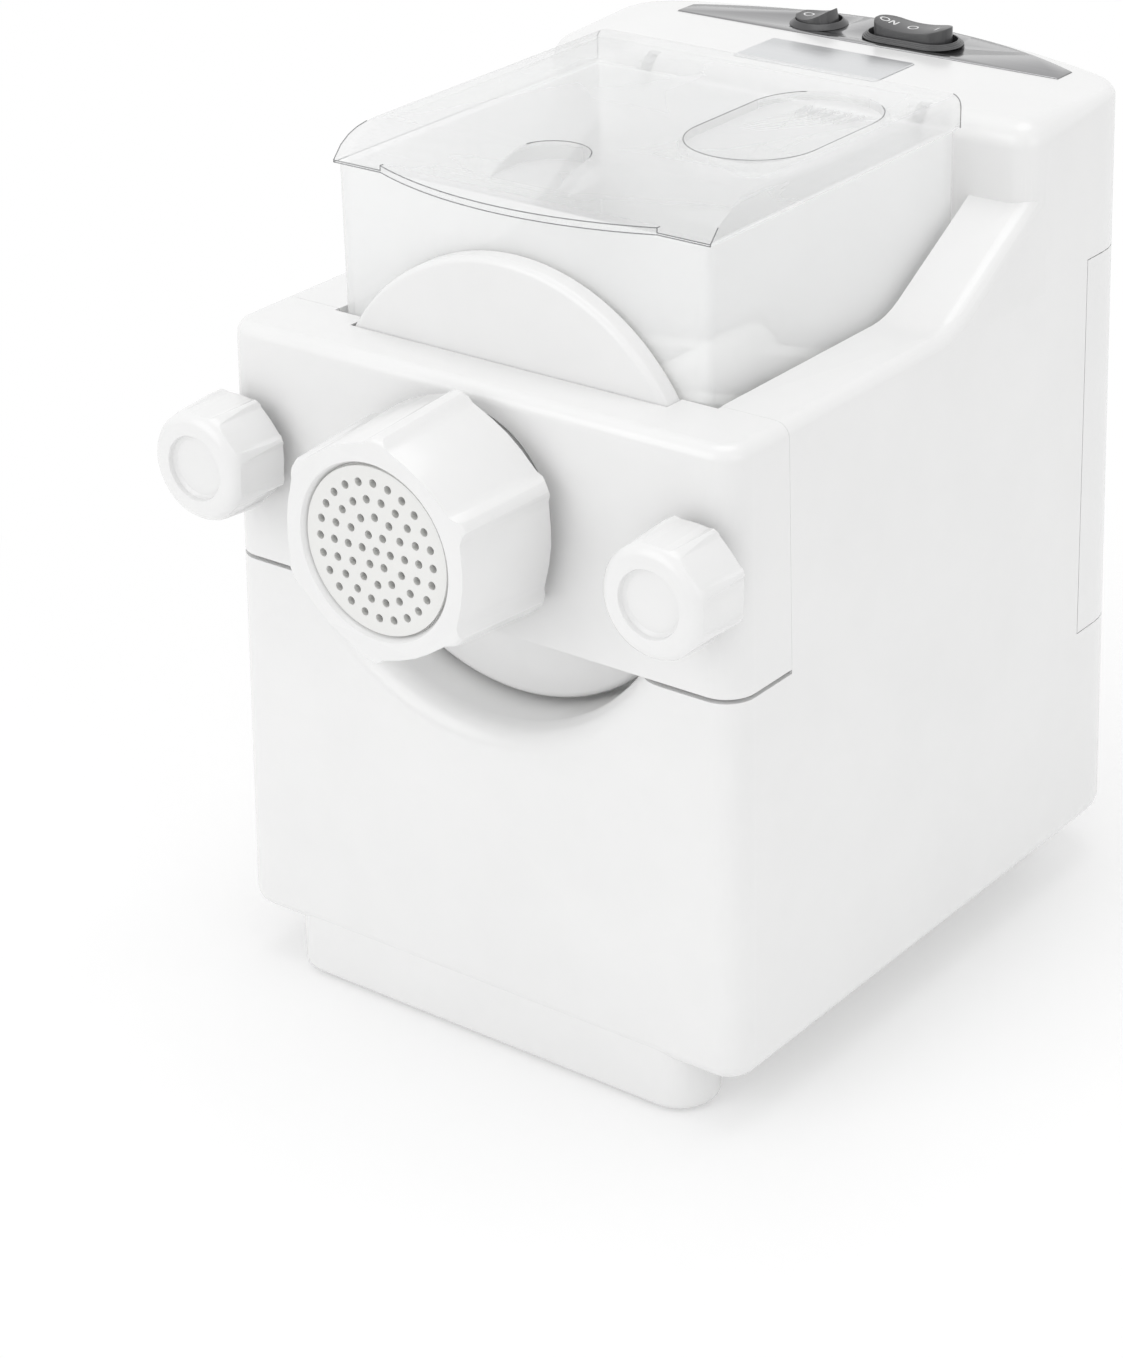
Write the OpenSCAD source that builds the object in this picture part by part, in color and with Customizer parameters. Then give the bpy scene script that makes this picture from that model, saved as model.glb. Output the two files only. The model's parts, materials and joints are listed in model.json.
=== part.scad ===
// Electric pasta maker. A clear mixing trough lies between the two ledges of a white
// housing. A bar clamped by two knobs holds the round front disc against the trough, and
// a ring nut on the disc's barrel holds the die. A motor under the trough turns the
// paddle and auger through three pairs of gears in the rear tower.
// Millimetres. +Z is up and the die faces -Y. Lengths along Y are measured from a plane
// across the housing, and the whole part is shifted so that its box is centred.

/* [Housing] */
// Width of the housing at its widest
body_w = 210; // [204:1:224]
// Reach of the front face in front of the reference plane
front_reach = 125.7; // [124:0.1:132]
// Reach of the bowed back, at its middle
back_reach = 138; // [136:0.5:150]
// Height of the housing's underside
body_clear = 20; // [16:0.5:24]
// Height of the top of the tower
tower_h = 290.5; // [286:0.5:305]
// Height of the ledges beside the trough
deck_h = 236.5; // [230:0.5:242]
// Front wall of the tower
tower_front = 48; // [44:0.5:50]
// Where the ramps' slope would meet the ledges
ramp_foot = 1.5; // [-6:0.5:8]
// Slope of the ramps, in degrees
ramp_slope = 29.5; // [24:0.5:32]
// Radius of the soft bend at the foot of the ramps
ramp_bend_r = 36; // [20:1:50]
// Lean of the outside walls, per millimetre of height
draft = 0.02; // [0.01:0.002:0.026]
// Radius of the front upright corners
corner_r = 10.5; // [10.5:0.5:14]
// Radius of the back upright corners
back_corner_r = 22; // [16:1:26]
// Radius of the bowed back, seen from above
back_bow_r = 216; // [190:2:300]
// Radius of the tower's front upright edges
tower_edge_r = 10; // [9.5:0.5:12]
// Rounding of the top of the tower
tower_fillet = 9; // [6:0.5:9]
// Rounding of the top of the tower along its back
back_fillet = 4; // [3:0.5:6]
// Rounding of the ledges' outer edges
deck_fillet = 5; // [3:0.5:6]
// Rounding of the lower edges
base_fillet = 6; // [3:0.5:8]
// Wall of the housing and its covers
wall = 3; // [2.5:0.1:3.4]

/* [Skids and feet] */
// Distance from the housing's side to the end of a skid
skid_inset = 19; // [16:0.5:26]
// Length of a skid, front to back
skid_depth = 27; // [24:1:32]
// Gap under a skid
skid_clear = 1; // [0.8:0.1:2]
// Radius of a rubber foot
foot_r = 9; // [7:0.5:10]
// How far a rubber foot is let into its skid
foot_seat = 1.5; // [1:0.1:2]
// Thickness of the base plate
base_t = 2.5; // [2:0.1:3]

/* [Clamp bar and knobs] */
// Height of the lower edge of the clamp bar
bar_bottom = 155.5; // [150:0.5:158]
// Gap between the clamp bar and the housing below it
bar_gap = 1.5; // [0.8:0.1:2]
// Where the clamp bar ends on the housing's sides
bar_back = -93.3; // [-95:0.1:-92.8]
// Gap behind the ends of the clamp bar
bar_seam = 0.8; // [0.5:0.1:1]
// Wall of the clamp bar
bar_wall = 3.5; // [3:0.1:4]
// Distance of a knob's axis from the housing's side
knob_inset = 14.5; // [13.8:0.1:15.2]
// Radius of a knob
knob_r = 20; // [17:0.1:20.5]
// Length of a knob
knob_len = 26; // [20:0.5:28]
// Length of the neck behind a knob
knob_neck = 3; // [2:0.1:4]
// Number of ridges on a knob
knob_ridges = 8; // [6:1:12]
// Radius of the dish in a knob's face
knob_dish_r = 10.8; // [8:0.1:12]
// Radius of a clamp stud
stud_r = 4; // [3.5:0.1:4.5]
// Lead of a stud's thread: travel for one turn
stud_lead = 3; // [2:0.5:4]
// Thickness of a knob's washer
washer_t = 1.6; // [1:0.1:2]

/* [Extruder] */
// Height of the extruder's axis
axis_h = 196.5; // [194:0.5:200]
// Radius of the front disc
disc_r = 74; // [71.5:0.1:74.5]
// Thickness of the front disc
disc_t = 7; // [6:0.1:8]
// Outer radius of the barrel
barrel_r = 31; // [30:0.1:32]
// Bore radius of the barrel
barrel_bore_r = 26; // [25:0.1:26.5]
// Reach of the ring nut's front face
nut_reach = 168; // [166:0.5:172]
// Length of the ring nut
nut_len = 40; // [38:0.5:42]
// Radius of the ring nut between its ridges, at its back rim
nut_back_r = 38.2; // [37.5:0.1:41]
// Radius of the ring nut at its front face
nut_front_r = 34.6; // [34:0.1:36]
// Radius of the opening in the ring nut
nut_opening_r = 28; // [26:0.5:29]
// Number of ridges on the ring nut
nut_ridges = 6; // [5:1:10]
// Height of the ring nut's ridges
ridge_h = 3.2; // [2:0.1:4]
// Thickness of the ring nut's front lip
nut_lip = 3; // [2:0.1:4]
// Lead of the ring nut's thread: travel for one turn
nut_lead = 4; // [3:0.5:6]
// Thickness of the die
die_t = 4.8; // [4:0.1:6]
// Radius of a noodle hole in the die
noodle_r = 1.4; // [0.8:0.1:1.6]
// Distance between rings of noodle holes
noodle_pitch = 5.6; // [4.6:0.1:6]

/* [Trough and lid] */
// Half of the outer width of the trough
trough_half_w = 73; // [72:0.1:75]
// Height of the trough's rim
trough_top = 286.5; // [284:0.5:287]
// Wall of the trough
trough_wall = 2.5; // [2:0.1:3]
// Space around the trough in the housing
trough_gap = 3; // [1.2:0.1:3.5]
// Opening in the trough's front wall
mouth_r = 66; // [60:0.5:66]
// Top of the lid
lid_top = 298; // [297:0.5:300]
// Wall of the lid
lid_wall = 2.2; // [1.8:0.1:2.6]
// Gap between the lid and the trough's rim
lid_gap = 0.5; // [0.3:0.1:0.8]
// Where the lid starts to curve down, in front of the reference plane
lid_bend = 67; // [67:0.5:72]
// Height lost over the lid's front curve
lid_drop = 11; // [8:0.1:11]
// Rounding of the lid's long edges
lid_edge_r = 4; // [2.8:0.1:5]
// How far the finger lip stands out in front of the lid
lip_reach = 11; // [8:0.5:14]
// Half of the finger lip's width
lip_half_w = 54; // [45:1:60]
// Radius of the ends of the oval recess
recess_r = 22.5; // [18:0.5:24]
// Length of the oval recess
recess_len = 78; // [70:1:84]
// Distance of the oval recess from the middle
recess_x = 44; // [40:0.5:46]
// Depth of the oval recess
recess_deep = 3; // [2:0.1:4]
// Half of the thumb scoop's width
scoop_half_w = 13; // [10:0.5:16]
// Distance of the lid's hooks from the middle
hook_x = 55; // [48:0.5:60]
// Thickness of a hook
hook_t = 3.6; // [3:0.1:4]

/* [Controls] */
// Half of the control panel's front edge
panel_half_w = 78; // [70:0.5:79]
// Front edge of the control panel
panel_front = 99.5; // [97:0.5:100]
// Middle of the control panel's bowed back edge
panel_back = 129.5; // [128:0.5:131]
// Radius of the control panel's bowed back edge
panel_bow_r = 158; // [150:1:180]
// Thickness of the control panel
panel_t = 2.2; // [1.6:0.1:2.6]
// How far the panel and the label stand above the tower
panel_proud = 0.4; // [0.2:0.1:0.8]
// Distance of the power switch from the middle, to the left
power_x = 26; // [22:0.5:30]
// Radius of the power switch's bezel
power_r = 10.5; // [9:0.1:11.5]
// Distance of the mode switch from the middle, to the right
mode_x = 13; // [10:0.5:20]
// Length of the mode switch's bezel
mode_w = 38; // [34:0.5:42]
// Width of the mode switch's bezel
mode_d = 20; // [16:0.5:22]
// Line of the switches, behind the reference plane
switch_y = 112.5; // [110:0.5:114]
// Width of the label plate
label_w = 58; // [50:0.5:62]
// Depth of the label plate
label_d = 25; // [20:0.5:28]
// Middle of the label plate, behind the reference plane
label_y = 76; // [74:0.5:80]

/* [Drive] */
// Radius of the drive shaft
shaft_r = 8; // [7:0.1:9]
// Radius of the motor shaft and of the gear axles
axle_r = 4; // [3.5:0.1:4.5]
// Module of the output gear pair
module_3 = 2; // [1.9:0.05:2]
// Module of the middle gear pair
module_2 = 1.5; // [1.4:0.05:1.5]
// Module of the motor gear pair
module_1 = 1.25; // [1.2:0.05:1.25]
// Teeth of each pinion
pinion_teeth = 12; // [12:1:13]
// Teeth of the output gear
output_teeth = 38; // [36:2:38]
// Teeth of the second gear
second_teeth = 42; // [40:1:43]
// Teeth of the first gear
first_teeth = 48; // [46:2:48]
// Play between meshing teeth
backlash = 0.2; // [0.1:0.05:0.3]
// Radius of the motor case
motor_r = 34; // [32:0.5:35]
// Length of the motor case
motor_len = 92; // [80:1:94]
// Sweep radius of the mixing paddle
paddle_r = 64; // [58:0.5:66]
// Radius of the paddle's hub
hub_r = 11; // [10:0.5:13]
// Pitch of the auger's flight
auger_pitch = 22; // [16:1:28]

/* [Hidden] */

// Clearances: a running fit, a fit that only has to slide together, and an open gap.
run_fit = 0.06;
slip_fit = 0.2;
open_gap = 0.4;
// Facets on the rounded shells, inside them and on round parts, and a cut that runs
// past its wall.
soft_fn = 32;
ramp_fn = 24;
inner_fn = 16;
round_fn = 96;
past = 1;

origin_shift = (nut_reach - back_reach)/2;
widest_z = body_clear + base_fillet;
tower_back = 150;

// Outside of the housing at a height.
function half_w(z) = body_w/2 - draft*(z - widest_z);
function front_y(z) = -front_reach + draft*(z - widest_z);
function back_y(z) = back_reach - draft*(z - widest_z);
function skin_y(x, z) = back_y(z) - back_bow_r + sqrt(pow(back_bow_r, 2) - pow(x, 2));

// The trough's channel, the disc and everything on the extruder's axis.
channel_half_w = trough_half_w + trough_gap;
trough_front = -front_reach + 31.7;
trough_back = tower_front - trough_gap - 0.5;
gasket_t = 1;
disc_back = trough_front - gasket_t;
disc_front = disc_back - disc_t;
nut_back = -nut_reach + nut_len;
die_front = -nut_reach + nut_lip;
barrel_front = die_front + die_t + 0.2;
bar_inner = disc_front - 0.3;

// Knobs and their studs.
knob_x = body_w/2 - knob_inset;
bar_face = front_y(axis_h);
washer_front = bar_face - 0.4 - washer_t;
knob_back = washer_front - 0.15;
knob_skirt = knob_back - knob_neck;
stud_back = bar_back + 18;
stud_front = knob_back - knob_len + 8;

// The ramp: a soft bend out of the ledge, then a straight slope.
bend_in = ramp_foot - ramp_bend_r*tan(ramp_slope/2);
bend_steps = 4;
ramp_line = concat(
    [for (i = [0:bend_steps]) let (a = ramp_slope*i/bend_steps)
        [bend_in + ramp_bend_r*sin(a), deck_h + ramp_bend_r*(1 - cos(a))]],
    [[tower_front + 14, deck_h + (tower_front + 14 - ramp_foot)*tan(ramp_slope)]]
);

// Lid: hooks turn on this line, inside the tower's front wall.
pivot_y = tower_front + 3;
pivot_z = trough_top - 0.5;
hook_r = 2.2;
hook_len = 4.5;
lid_bottom = trough_top + lid_gap;
lid_half_w = trough_half_w + 0.5;
lid_back = tower_front - 2.5;
lid_front = trough_front - 0.3;
slot_h = [pivot_z - hook_len - hook_r - 0.8, pivot_z + hook_r + 0.6];

// Rear cover window, in heights, and its edge on the housing's sides.
cover_z = [98, 236];
cover_y = 84.5;
cover_gap = 0.4;

// Gear axes, stacked under the extruder's axis.
second_h = axis_h - module_3*(pinion_teeth + output_teeth)/2;
first_h = second_h - module_2*(pinion_teeth + second_teeth)/2;
motor_h = first_h - module_1*(pinion_teeth + first_teeth)/2;
pressure_angle = 25;

// Places along Y inside the tower.
case_front = tower_front + wall + 0.2;
case_t = 4;
gear_3_y = [case_front + 8.8, case_front + 20.8];
gear_2_y = [gear_3_y[1] + 2, gear_3_y[1] + 11];
gear_1_y = [gear_2_y[1] + 1.5, gear_2_y[1] + 8.5];
case_back = gear_1_y[1] + 2.7;
bearing_r = 14;
bearing_w = 8;
motor_back = tower_front - 1;
motor_front = motor_back - motor_len;

module place() translate([0, origin_shift, 0]) children();

// ---- shapes -----------------------------------------------------------------

// A flat shape drawn in X and Z, as thick as the two Y places are apart.
module upright(y0, y1) translate([0, y1, 0]) rotate([90, 0, 0]) linear_extrude(y1 - y0) children();

// A round bar along Y.
module bar_y(y0, y1, r, x = 0, z = axis_h, fn = round_fn)
    translate([x, y0, z]) rotate([-90, 0, 0]) cylinder(r = r, h = y1 - y0, $fn = fn);

// A cone along Y.
module cone_y(y0, y1, r0, r1, x = 0, z = axis_h, fn = round_fn)
    translate([x, y0, z]) rotate([-90, 0, 0]) cylinder(r1 = r0, r2 = r1, h = y1 - y0, $fn = fn);

// A shape turned about an axis along Y. Its outline holds [radius, Y] points.
module turned_y(x = 0, z = axis_h, fn = round_fn)
    translate([x, 0, z]) rotate([-90, 0, 0]) rotate_extrude($fn = fn) children();

// A disc whose rim is a half circle, for rounding the shells.
module soft_disc(r, fillet, fn = soft_fn) {
    f = min(fillet, r - 0.1);
    rotate_extrude($fn = fn) {
        translate([0, -f]) square([r - f, 2*f]);
        translate([r - f, 0]) intersection() {
            circle(f, $fn = fn);
            translate([0, -f]) square([f, 2*f]);
        }
    }
}

module box(x, y, z) translate([x[0], y[0], z[0]]) cube([x[1] - x[0], y[1] - y[0], z[1] - z[0]]);

module both_sides() {
    children();
    mirror([1, 0, 0]) children();
}

module rounded_rect(w, d, r, fn = 48) {
    square([w - 2*r, d], center = true);
    square([w, d - 2*r], center = true);
    for (sx = [-1, 1], sy = [-1, 1])
        translate([sx*(w/2 - r), sy*(d/2 - r)]) circle(r, $fn = fn);
}

// The trough's section: a half circle below, straight sides above.
module trough_section(half, top) {
    translate([0, axis_h]) circle(half, $fn = round_fn);
    translate([-half, axis_h]) square([2*half, top - axis_h]);
}

// ---- housing shell ----------------------------------------------------------

// The front block, up to the ledges.
module front_block(inset, top) {
    fn = inset > 0 ? inner_fn : soft_fn;
    high = top - deck_fillet;
    hull() for (sx = [-1, 1], y = [front_y(high) + corner_r, tower_front + 15]) {
        translate([sx*(half_w(high) - corner_r), y, high - inset])
            soft_disc(corner_r - inset, deck_fillet, fn);
        translate([sx*(half_w(widest_z) - corner_r), y == tower_front + 15 ? y :
            front_y(widest_z) + corner_r, widest_z])
            soft_disc(corner_r - inset, base_fillet, fn);
    }
}

// The discs that make the bowed back at a height.
bow_steps = 6;
module bow_discs(z, inset, f, fn) {
    reach = back_bow_r - back_corner_r;
    widest = asin((half_w(z) - back_corner_r)/reach);
    for (i = [-bow_steps:bow_steps])
        translate([reach*sin(widest*i/bow_steps),
            back_y(z) - back_bow_r + reach*cos(widest*i/bow_steps), z])
            soft_disc(back_corner_r - inset, f, fn);
}

// No two blocks' side walls lie in one plane: each is set in a hair more than the next.
hair = 0.02;

module tower_block(inset) {
    fn = inset > 0 ? inner_fn : soft_fn;
    top = tower_h - back_fillet;
    hull() {
        for (sx = [-1, 1]) {
            translate([sx*(half_w(tower_h - tower_fillet) - tower_edge_r + hair),
                tower_front + tower_edge_r,
                tower_h - tower_fillet]) soft_disc(tower_edge_r - inset, tower_fillet - inset, fn);
            translate([sx*(half_w(widest_z) - tower_edge_r + hair), tower_front + tower_edge_r, widest_z])
                soft_disc(tower_edge_r - inset, base_fillet, fn);
        }
        bow_discs(widest_z, inset, base_fillet, fn);
        translate([0, 0, -inset]) bow_discs(top, inset, back_fillet, fn);
    }
}

module ramp_section(y, z, step) for (sx = [-1, 1]) {
    translate([sx*(half_w(z - deck_fillet) - deck_fillet - 1 - hair*step), y, z - deck_fillet])
        soft_disc(deck_fillet + 1, deck_fillet, ramp_fn);
    translate([sx*(half_w(bar_bottom) - deck_fillet - 1 - hair*step), y, bar_bottom])
        soft_disc(deck_fillet + 1, deck_fillet, ramp_fn);
}

module ramps() for (i = [0:len(ramp_line) - 2]) hull() {
    ramp_section(ramp_line[i][0], ramp_line[i][1], i + 1);
    ramp_section(ramp_line[i + 1][0], ramp_line[i + 1][1], i + 1);
}

// A skid bar with round ends under the housing.
module skid(y0, inset, low, high) {
    skid_fn = inset > 0 ? inner_fn : soft_fn;
    end_r = skid_depth/2;
    hull() for (sx = [-1, 1]) translate([sx*(body_w/2 - skid_inset - end_r), y0 + end_r, 0]) {
        translate([0, 0, low + 3]) soft_disc(end_r - inset, 3, skid_fn);
        translate([0, 0, high - 3]) cylinder(r = end_r - inset, h = 3, $fn = skid_fn);
    }
}

front_skid_y = -front_reach + 0.5;
rear_skid_y = cover_y - 8;
skid_wall = wall + 0.6;

module outer_skin() {
    front_block(0, deck_h);
    ramps();
    tower_block(0);
    skid(front_skid_y, 0, skid_clear, widest_z);
}

// The hollow inside the housing, open below.
module hollow(inset) {
    front_block(inset, deck_h);
    tower_block(inset);
    hull() {
        translate([0, 0, -inset]) ramp_box(ramp_foot + 4, deck_h + 1, inset + hair);
        translate([0, 0, -inset])
            ramp_box(tower_front + 12, deck_h + (tower_front + 10 - ramp_foot)*tan(ramp_slope),
                inset + hair);
    }
}

module ramp_box(y, z, inset)
    translate([-half_w(z) + inset, y, bar_bottom]) cube([2*(half_w(z) - inset), 0.1, z - bar_bottom]);

// What stands inside the hollow: the trough's bed, the wall behind the clamp bar, the
// shelf under it, the stud bosses, and the tabs that carry the rear cover.
base_front = -front_reach + skid_depth + 1;
base_back = rear_skid_y - 1;
boss_r = 9;
tab_bite = 0.3;
tab_h = 12;
tab_x = 52;
module inner_walls() {
    upright(-front_reach + 0.5, tower_front + wall) trough_section(channel_half_w + wall, tower_h);
    box([-body_w/2, body_w/2], [bar_back + bar_seam, bar_back + bar_seam + wall],
        [bar_bottom - bar_gap - wall, tower_h]);
    box([-body_w/2, body_w/2], [-front_reach, bar_back + bar_seam + wall],
        [bar_bottom - bar_gap - wall, bar_bottom - bar_gap]);
    both_sides() bar_y(bar_back + bar_seam, stud_back + wall, boss_r, knob_x, fn = 32);
    both_sides() for (z = cover_z)
        box([tab_x - 8, tab_x + 8], [skin_y(tab_x, z) - 12, tower_back], [z - tab_h/2, z + tab_h/2]);
    for (y = [[-front_reach, base_front], [base_back, tower_back]])
        box([-body_w/2, body_w/2], y, [body_clear + 1, body_clear + 1 + wall]);
    base_screw_places() box([-6, 30], [-6, 6], [body_clear + base_t + 0.2, body_clear + 16]);
    for (y = board_pin_y, z = board_pin_z) translate([board_x + board_t + 0.2, y, z]) rotate([0, 90, 0])
        union() {
            cylinder(r = 4, h = 20, $fn = 16);
            translate([0, 0, -board_t - 1.2]) cylinder(r = 1.5, h = 10, $fn = 16);
        }
    box([-hook_x - 9, -hook_x + 9], [tower_front, switch_back], [switch_bottom - 0.2 - wall,
        switch_bottom - 0.2]);
}

// The trough's channel, with two rails in its bed that the trough rests on.
rail_x = 28;
module channel_air() difference() {
    upright(-front_reach - past, tower_front) trough_section(channel_half_w, 2*tower_h);
    both_sides() box([rail_x, rail_x + 4], [trough_front + 2, trough_back - 2],
        [0, axis_h - sqrt(pow(trough_half_w, 2) - pow(rail_x, 2)) - slip_fit]);
}

module bar_zone(z0, back) box([-body_w, body_w], [-front_reach - past, back], [z0, deck_h + past]);

module hook_slots() both_sides() for (cut = [[12, slot_h[1]], [6.8, pivot_z + 5]])
    box([hook_x - hook_t/2 - 0.5, hook_x + hook_t/2 + 0.5], [tower_front - past, tower_front + cut[0]],
        [slot_h[0], cut[1]]);

module cover_zone(g) box([-body_w, body_w], [cover_y + g, tower_back], [cover_z[0] + g, cover_z[1] - g]);

// Each cover screw's seat in the bowed cover.
seat_deep = 1.1;
module cover_screw_places() for (sx = [-1, 1], z = [cover_z[0] + tab_h/4, cover_z[1] - tab_h/4])
    translate([sx*tab_x, skin_y(tab_x, z) - seat_deep, z]) children();

module foot_places() for (sx = [-1, 1], y = [front_skid_y + skid_depth/2, rear_skid_y + skid_depth/2])
    translate([sx*(body_w/2 - skid_inset - skid_depth/2), y, 0]) children();

// The cord's gland, on a flat pad in the bowed back.
gland_x = 50;
gland_z = 56;
gland_r = 7;
gland_rim = 10;
cord_r = 3.6;
plug_y = skin_y(gland_x, gland_z);
pad_y = plug_y + 2.8;

module main_housing() color("white") difference() {
    union() {
        difference() {
            outer_skin();
            hollow(wall);
            cover_zone(0);
        }
        skid(rear_skid_y, 0, skid_clear, body_clear + 2);
        bar_y(plug_y - 2.5, pad_y, gland_rim + 1, gland_x, gland_z, fn = 48);
        intersection() {
            hollow(wall - tab_bite);
            inner_walls();
        }
    }
    for (y = [front_skid_y, rear_skid_y]) skid(y, skid_wall, skid_clear + wall, widest_z + 2);
    channel_air();
    bar_zone(bar_bottom - bar_gap, bar_back + bar_seam);
    hook_slots();
    gearbox_screw_places() bar_y(tower_front + 0.6, case_front + past, 1.7, z = 0, fn = 16);
    base_screw_places() cylinder(r = 1.7, h = body_clear + 12, $fn = 16);
    both_sides() bar_y(bar_back, stud_back, stud_r + slip_fit, knob_x, fn = 32);
    bar_y(tower_front - past, tower_front + wall + past, shaft_r + 6, fn = 32);
    cover_screw_places() bar_y(-past - 12, 20, 1.8, z = 0, fn = 16);
    foot_places() translate([0, 0, skid_clear - past]) cylinder(r = foot_r - 0.8,
        h = past + foot_seat + 0.05, $fn = 32);
    foot_places() cylinder(r = 2.2, h = body_clear, $fn = 16);
    translate([0, 0, tower_h - panel_t + panel_proud - 0.1]) linear_extrude(2*panel_t) control_outline(0.2);
    translate([0, 0, tower_h - wall - past]) linear_extrude(3*wall) switch_holes();
    translate([0, label_y, tower_h - 0.6]) linear_extrude(2) rounded_rect(label_w + 0.4, label_d + 0.4,
        1.2, 16);
    bar_y(plug_y - 20, tower_back, gland_r + slip_fit, gland_x, gland_z, fn = 32);
    for (x = [-60:10:20]) box([x - 2, x + 2], [100, tower_back], [40, 76]);
}

base_mid = (base_front + base_back)/2;

module base_screw_places() for (a = [0, 180], y = [-68, 45])
    translate([0, base_mid + y, 0]) mirror([a/180, 0, 0]) translate([body_w/2 - 22, 0, 0]) children();

module base_plate() color("whitesmoke") difference() {
    translate([0, base_mid, body_clear]) linear_extrude(base_t)
        square([body_w - 2*(wall + base_fillet + open_gap), base_back - base_front - 2*open_gap],
            center = true);
    for (x = [-50:10:50], y = [-22, 22])
        translate([x - 2, base_mid + y - 16, body_clear - past]) cube([4, 32, base_t + 2*past]);
    base_screw_places() translate([0, 0, body_clear - past]) cylinder(r = 1.7, h = base_t + 2*past,
        $fn = 32);
}

module rear_cover() color("white") difference() {
    intersection() {
        difference() {
            tower_block(0);
            tower_block(wall - tab_bite - slip_fit);
        }
        cover_zone(cover_gap);
    }
    cover_screw_places() {
        bar_y(-5, 5, 1.7, z = 0, fn = 24);
        bar_y(0, 10, 3.3, z = 0, fn = 32);
    }
    for (z = [150:9:204]) box([-45, 45], [100, tower_back], [z - 2, z + 2]);
}

// ---- clamp bar and knobs ----------------------------------------------------

disc_clear = 0.6;
module crossbar() color("white") difference() {
    intersection() {
        front_block(0, deck_h);
        bar_zone(bar_bottom, bar_back);
    }
    bar_y(bar_inner, 0, disc_r + disc_clear);
    box([-channel_half_w - 0.3, channel_half_w + 0.3], [trough_front - disc_clear, 0], [0, tower_h]);
    difference() {
        intersection() {
            front_block(bar_wall, deck_h);
            box([-body_w, body_w], [-front_reach, past], [bar_bottom + bar_wall, deck_h - bar_wall]);
        }
        bar_y(-front_reach, bar_back, barrel_r + 2.2 + bar_wall);
        both_sides() bar_y(-front_reach, bar_back, boss_r, knob_x, fn = 48);
        both_sides() box([knob_x - 1.2, knob_x + 1.2], [-front_reach, bar_back], [bar_bottom, deck_h]);
        for (x = [-56, -46, 46, 56]) box([x - 1.2, x + 1.2], [-front_reach, bar_inner], [bar_bottom,
            deck_h]);
    }
    bar_y(-front_reach - past, 0, barrel_r + 2);
    both_sides() bar_y(-front_reach - past, 0, stud_r + 0.6, knob_x, fn = 48);
}

module clamp_studs() color("silver") both_sides() turned_y(knob_x) polygon(concat(
    [[0, stud_front], [stud_r - 0.8, stud_front], [stud_r, stud_front + 0.8]],
    thread(stud_r, stud_front + 1, bar_face, stud_lead),
    [[stud_r, stud_back - 0.2], [0, stud_back - 0.2]]
));

module washer(side) color("silver") difference() {
    bar_y(washer_front, washer_front + washer_t, 11, side*knob_x);
    bar_y(washer_front - past, washer_front + washer_t + past, stud_r + run_fit, side*knob_x);
}
module washer_left() washer(-1);
module washer_right() washer(1);

// A round outline with soft ridges and nearly flat stretches between them.
function ridge(t) = lookup(abs(t), [[0, 1], [0.04, 0.92], [0.08, 0.5], [0.12, 0.14], [0.17, 0], [0.33,
    -0.2], [0.5, -0.25]]);
ridge_steps = [-0.5, -0.33, -0.17, -0.12, -0.08, -0.04, 0, 0.04, 0.08, 0.12, 0.17, 0.33];
module ridged_outline(n, r, high, turn) polygon([for (i = [0:n - 1], t = ridge_steps)
    let (a = turn + 360*(i + t)/n, q = r + high*ridge(t)) [q*cos(a), q*sin(a)]]);

// A ridged knob with a neck behind it, a rounded nose and a dish in its face.
knob_nose = 5;
knob_turn = 20;
module knob(side) color("white") difference() {
    intersection() {
        turned_y(side*knob_x) polygon(concat(
            [[0, knob_back], [12, knob_back], [12, knob_skirt], [knob_r - 0.8, knob_skirt], [knob_r,
                knob_skirt - 0.8],
                [knob_r, knob_skirt - 6]],
            [for (a = [0:15:90])
                [knob_r - knob_nose - 1 + knob_nose*cos(a),
                    knob_back - knob_len + knob_nose - knob_nose*sin(a)]],
            [[0, knob_back - knob_len]]
        ));
        upright(knob_back - knob_len - past, knob_back + past) translate([side*knob_x, axis_h])
            ridged_outline(knob_ridges, knob_r - 1.4, 1.5, knob_turn);
    }
    turned_y(side*knob_x) polygon([[0, knob_back - knob_len - past], [knob_dish_r + 0.6,
        knob_back - knob_len - past],
        [knob_dish_r, knob_back - knob_len + 1.6], [knob_dish_r - 1.2, knob_back - knob_len + 2.4],
        [0, knob_back - knob_len + 2.4]]);
    bar_y(stud_front - 2, knob_back + past, stud_r + run_fit, side*knob_x);
    turned_y(side*knob_x) polygon([[12, knob_skirt - 6], [knob_r - 4, knob_skirt - 6],
        [knob_r - 4, knob_skirt + 0.5], [12, knob_skirt + 0.5]]);
}
module knob_left() knob(-1);
module knob_right() knob(1);

// ---- extruder ---------------------------------------------------------------

// A thread's outline on a rod along Y, as rings one lead apart, from y0 to y1.
thread_deep = 0.5;
function thread(r, y0, y1, lead) = [for (i = [0:floor((y1 - y0)/lead) - 1], k = [0:3])
    [r - (k == 1 || k == 2 ? thread_deep : 0), y0 + lead*(i + [0.1, 0.3, 0.7, 0.9][k])]];

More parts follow.
